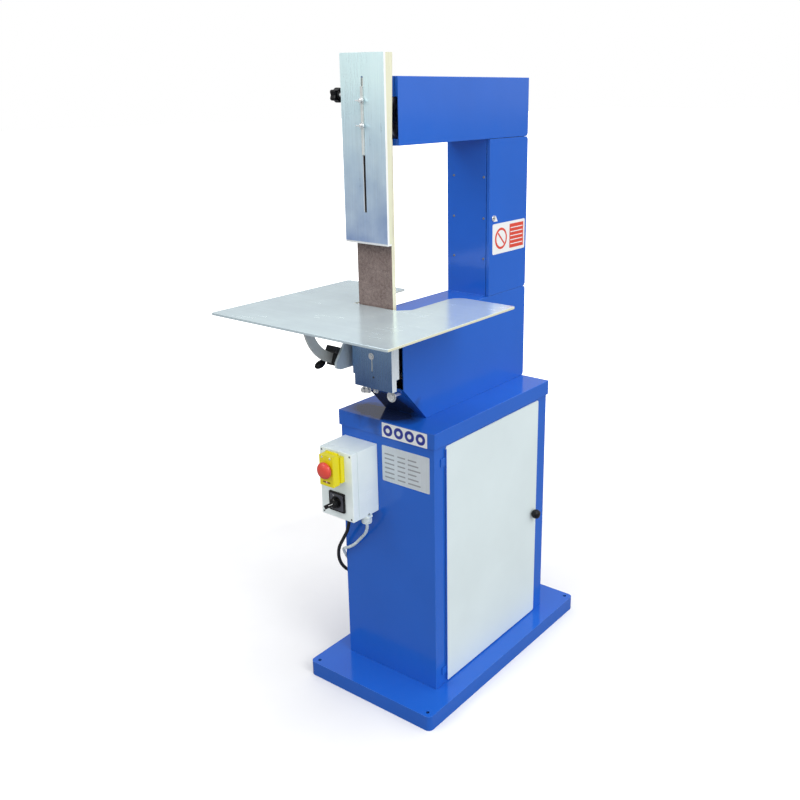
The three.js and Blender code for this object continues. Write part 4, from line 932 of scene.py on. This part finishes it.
def trunnion_fittings():
    """The two bolts that hold the tilt bracket to the casing's left side."""
    plate = box_mm("tilt_bracket")[0].x
    places = ((-241, 893), (-210, 884))
    for index, (y, z) in enumerate(places):
        hex_head(f"bracket_bolt_{index + 1}", "x", y, z, plate, 5.0, 7.2, 9.5)


# ---------------------------------------------------------------- labels without lettering


def sticker(name, axis, outline, face, material, body, towards=-1, layer=0):
    """A printed layer on a face. Each layer stands a little further out than the one it covers."""
    step, thickness = 0.25, 0.3
    near, far = face + towards * step * layer, face + towards * (step * layer + thickness)
    rides(prism(name, axis, outline, min(near, far), max(near, far), material), body)


def side_label():
    """On the column's cover: a ring with a bar across it beside a ruled block, and a mark by the lock."""
    side = box_mm("column_cover")[1].x

    def printing(name, outline, material, layer=0):
        sticker(name, "x", outline, side, material, "column_cover", 1, layer)

    y, z = 138, 1119
    printing("side_label", rounded(100, 249, 1081, 1158, 5), print_white)
    printing("side_label_disc", circle(27, y, z, 64), print_red, 1)
    printing("side_label_disc_field", circle(21, y, z, 64), print_white, 2)
    bar = turned_about(rectangle(y - 20, y + 20, z - 2.2, z + 2.2), (y, z), -45)
    printing("side_label_bar", bar, print_red, 3)
    printing("side_label_block", rounded(177, 242, 1089, 1151, 2), print_red, 1)
    for row in range(5):
        foot = 1098 + 10.4 * row
        printing(f"side_label_rule_{row + 1}", rounded(181, 238, foot, foot + 2.2, 1), print_white, 2)
    printing("latch_mark", [(104, 1164), (122, 1164), (113, 1179)], print_white)


def front_labels():
    """Four round marks on the cap's skirt, and a plate of plain dashes under them."""
    skirt, front = box_mm("cabinet_cap")[0].y, box_mm("cabinet_body")[0].y
    sticker("round_marks_strip", "y", rounded(-9, 128, 688, 724, 2), skirt, print_white, "stand")
    for index in range(4):
        x, z = 9.5 + 33 * index, 706
        sticker(f"round_mark_{index + 1}", "y", circle(14, x, z), skirt, print_blue, "stand", layer=1)
        centre = circle(6, x, z, 32)
        sticker(f"round_mark_centre_{index + 1}", "y", centre, skirt, print_white, "stand", layer=2)
    sticker("data_plate", "y", rounded(-14, 131, 572, 664, 3), front, plate_grey, "stand")
    for row in range(6):
        foot = 582 + 12 * row
        for column, (start, end) in enumerate(((-6, 24), (34, 58), (66, 104 - 6 * (row % 3)))):
            dash = rounded(start, end, foot, foot + 3.4, 1.2)
            sticker(f"data_plate_mark_{row + 1}_{column + 1}", "y", dash, front, print_grey, "stand", layer=1)


# ---------------------------------------------------------------- studio


def pale_floor():
    """A floor that is pale to the camera and white far out, and that throws little light back up."""
    mesh = bpy.data.meshes.new("floor")
    mesh.from_pydata([(-30, -30, 0), (30, -30, 0), (30, 60, 0), (-30, 60, 0)], [], [(0, 1, 2, 3)])
    s = Shader("pale_floor")
    seen_tone = s.mix(s.clouds(3.0, 4.0, 0.35, 0.65), rgb(0.90, 0.90, 0.90), rgb(0.93, 0.93, 0.93))
    direct = s.node("ShaderNodeLightPath").outputs["Is Camera Ray"]
    tone = s.mix(direct, rgb(0.30, 0.30, 0.31), seen_tone)
    far = s.vector("LENGTH", s.position, output="Value")
    fade = s.math("MULTIPLY", s.spread(far, 0.0, 1.0, 0.9, 2.6), direct)
    s.finish(Base_Color=tone, Roughness=0.75, Specular_IOR_Level=0.2, Emission_Color=rgb(1.0, 1.0, 1.0),
             Emission_Strength=fade)
    linked("floor", mesh, s.material)


def white_room():
    """White to the camera, and brighter from one side for everything that the light falls on."""
    bright_side = (-0.66, -0.10, -0.74)
    world = bpy.data.worlds.new("studio")
    bpy.context.scene.world = world
    world.use_nodes = True
    n = Nodes(world.node_tree)
    backdrop = n.tree.nodes["Background"]
    backdrop.inputs["Color"].default_value = rgb(1.0, 1.0, 1.0)
    incoming = n.node("ShaderNodeNewGeometry").outputs["Incoming"]
    lean = n.vector("DOT_PRODUCT", incoming, bright_side, "Value")
    strength = n.spread(lean, 0.18, 1.25, -0.7, 1.0)
    direct = n.node("ShaderNodeLightPath").outputs["Is Camera Ray"]
    n.put(n.node("ShaderNodeMix", {0: direct, 2: strength, 3: 1.0}).outputs[0], backdrop.inputs["Strength"])


def soft_lights():
    """Square lamps by place, the point they look at, side and power, in metres and watts."""
    rows = (
        ("key", (3.2, -0.9, 2.9), (0.0, 0.0, 0.9), 1.8, 46.0),
        ("fill", (-1.6, -3.4, 2.4), (0.0, 0.0, 0.9), 2.2, 12.5),
        ("top", (0.2, -0.3, 3.8), (0.0, 0.0, 0.9), 1.6, 26.0),
        ("front", (-0.9, -1.7, 2.5), (0.0, 0.0, 1.2), 0.7, 9.5),
    )
    for name, place, target, size, power in rows:
        data = bpy.data.lights.new(name, "AREA")
        data.size = size
        data.energy = power
        add_aimed(name, data, place, Vector(target) - Vector(place))


def add_aimed(name, data, place, forward):
    """A lamp or camera that looks along a direction with its own up side up."""
    made = bpy.data.objects.new(name, data)
    made.location = place
    made.rotation_mode = "QUATERNION"
    made.rotation_quaternion = forward.to_track_quat("-Z", "Y")
    bpy.context.scene.collection.objects.link(made)
    return made


def camera():
    """The photograph's view: a camera whose picture is shifted on its sensor, as the photo is cropped."""
    yaw, pitch = 0.6303, 0.3040
    data = bpy.data.cameras.new("camera")
    data.sensor_width = 36.0
    data.lens = 41.3
    data.shift_x, data.shift_y = -0.0756, -0.0324
    forward = Vector((-math.sin(yaw) * math.cos(pitch), math.cos(yaw) * math.cos(pitch), -math.sin(pitch)))
    scene = bpy.context.scene
    scene.camera = add_aimed("camera", data, (1.3509, -1.7989, 1.4870), forward)
    scene.view_settings.view_transform = "Standard"
    scene.view_settings.look = "None"


# ---------------------------------------------------------------- build

dress_cad()
wheels()
tracking_knob()
door_knob()
cover_latch()
wing_screws()
tension_spring()
motor()
clamp_lever()
push_buttons()
mushroom()
flap_details()
switch()
box_details()
glands()
column_screws()
strap_bolts()
entry_nuts()
casing_fittings()
trunnion_fittings()
side_label()
front_labels()
pale_floor()
white_room()
soft_lights()
camera()
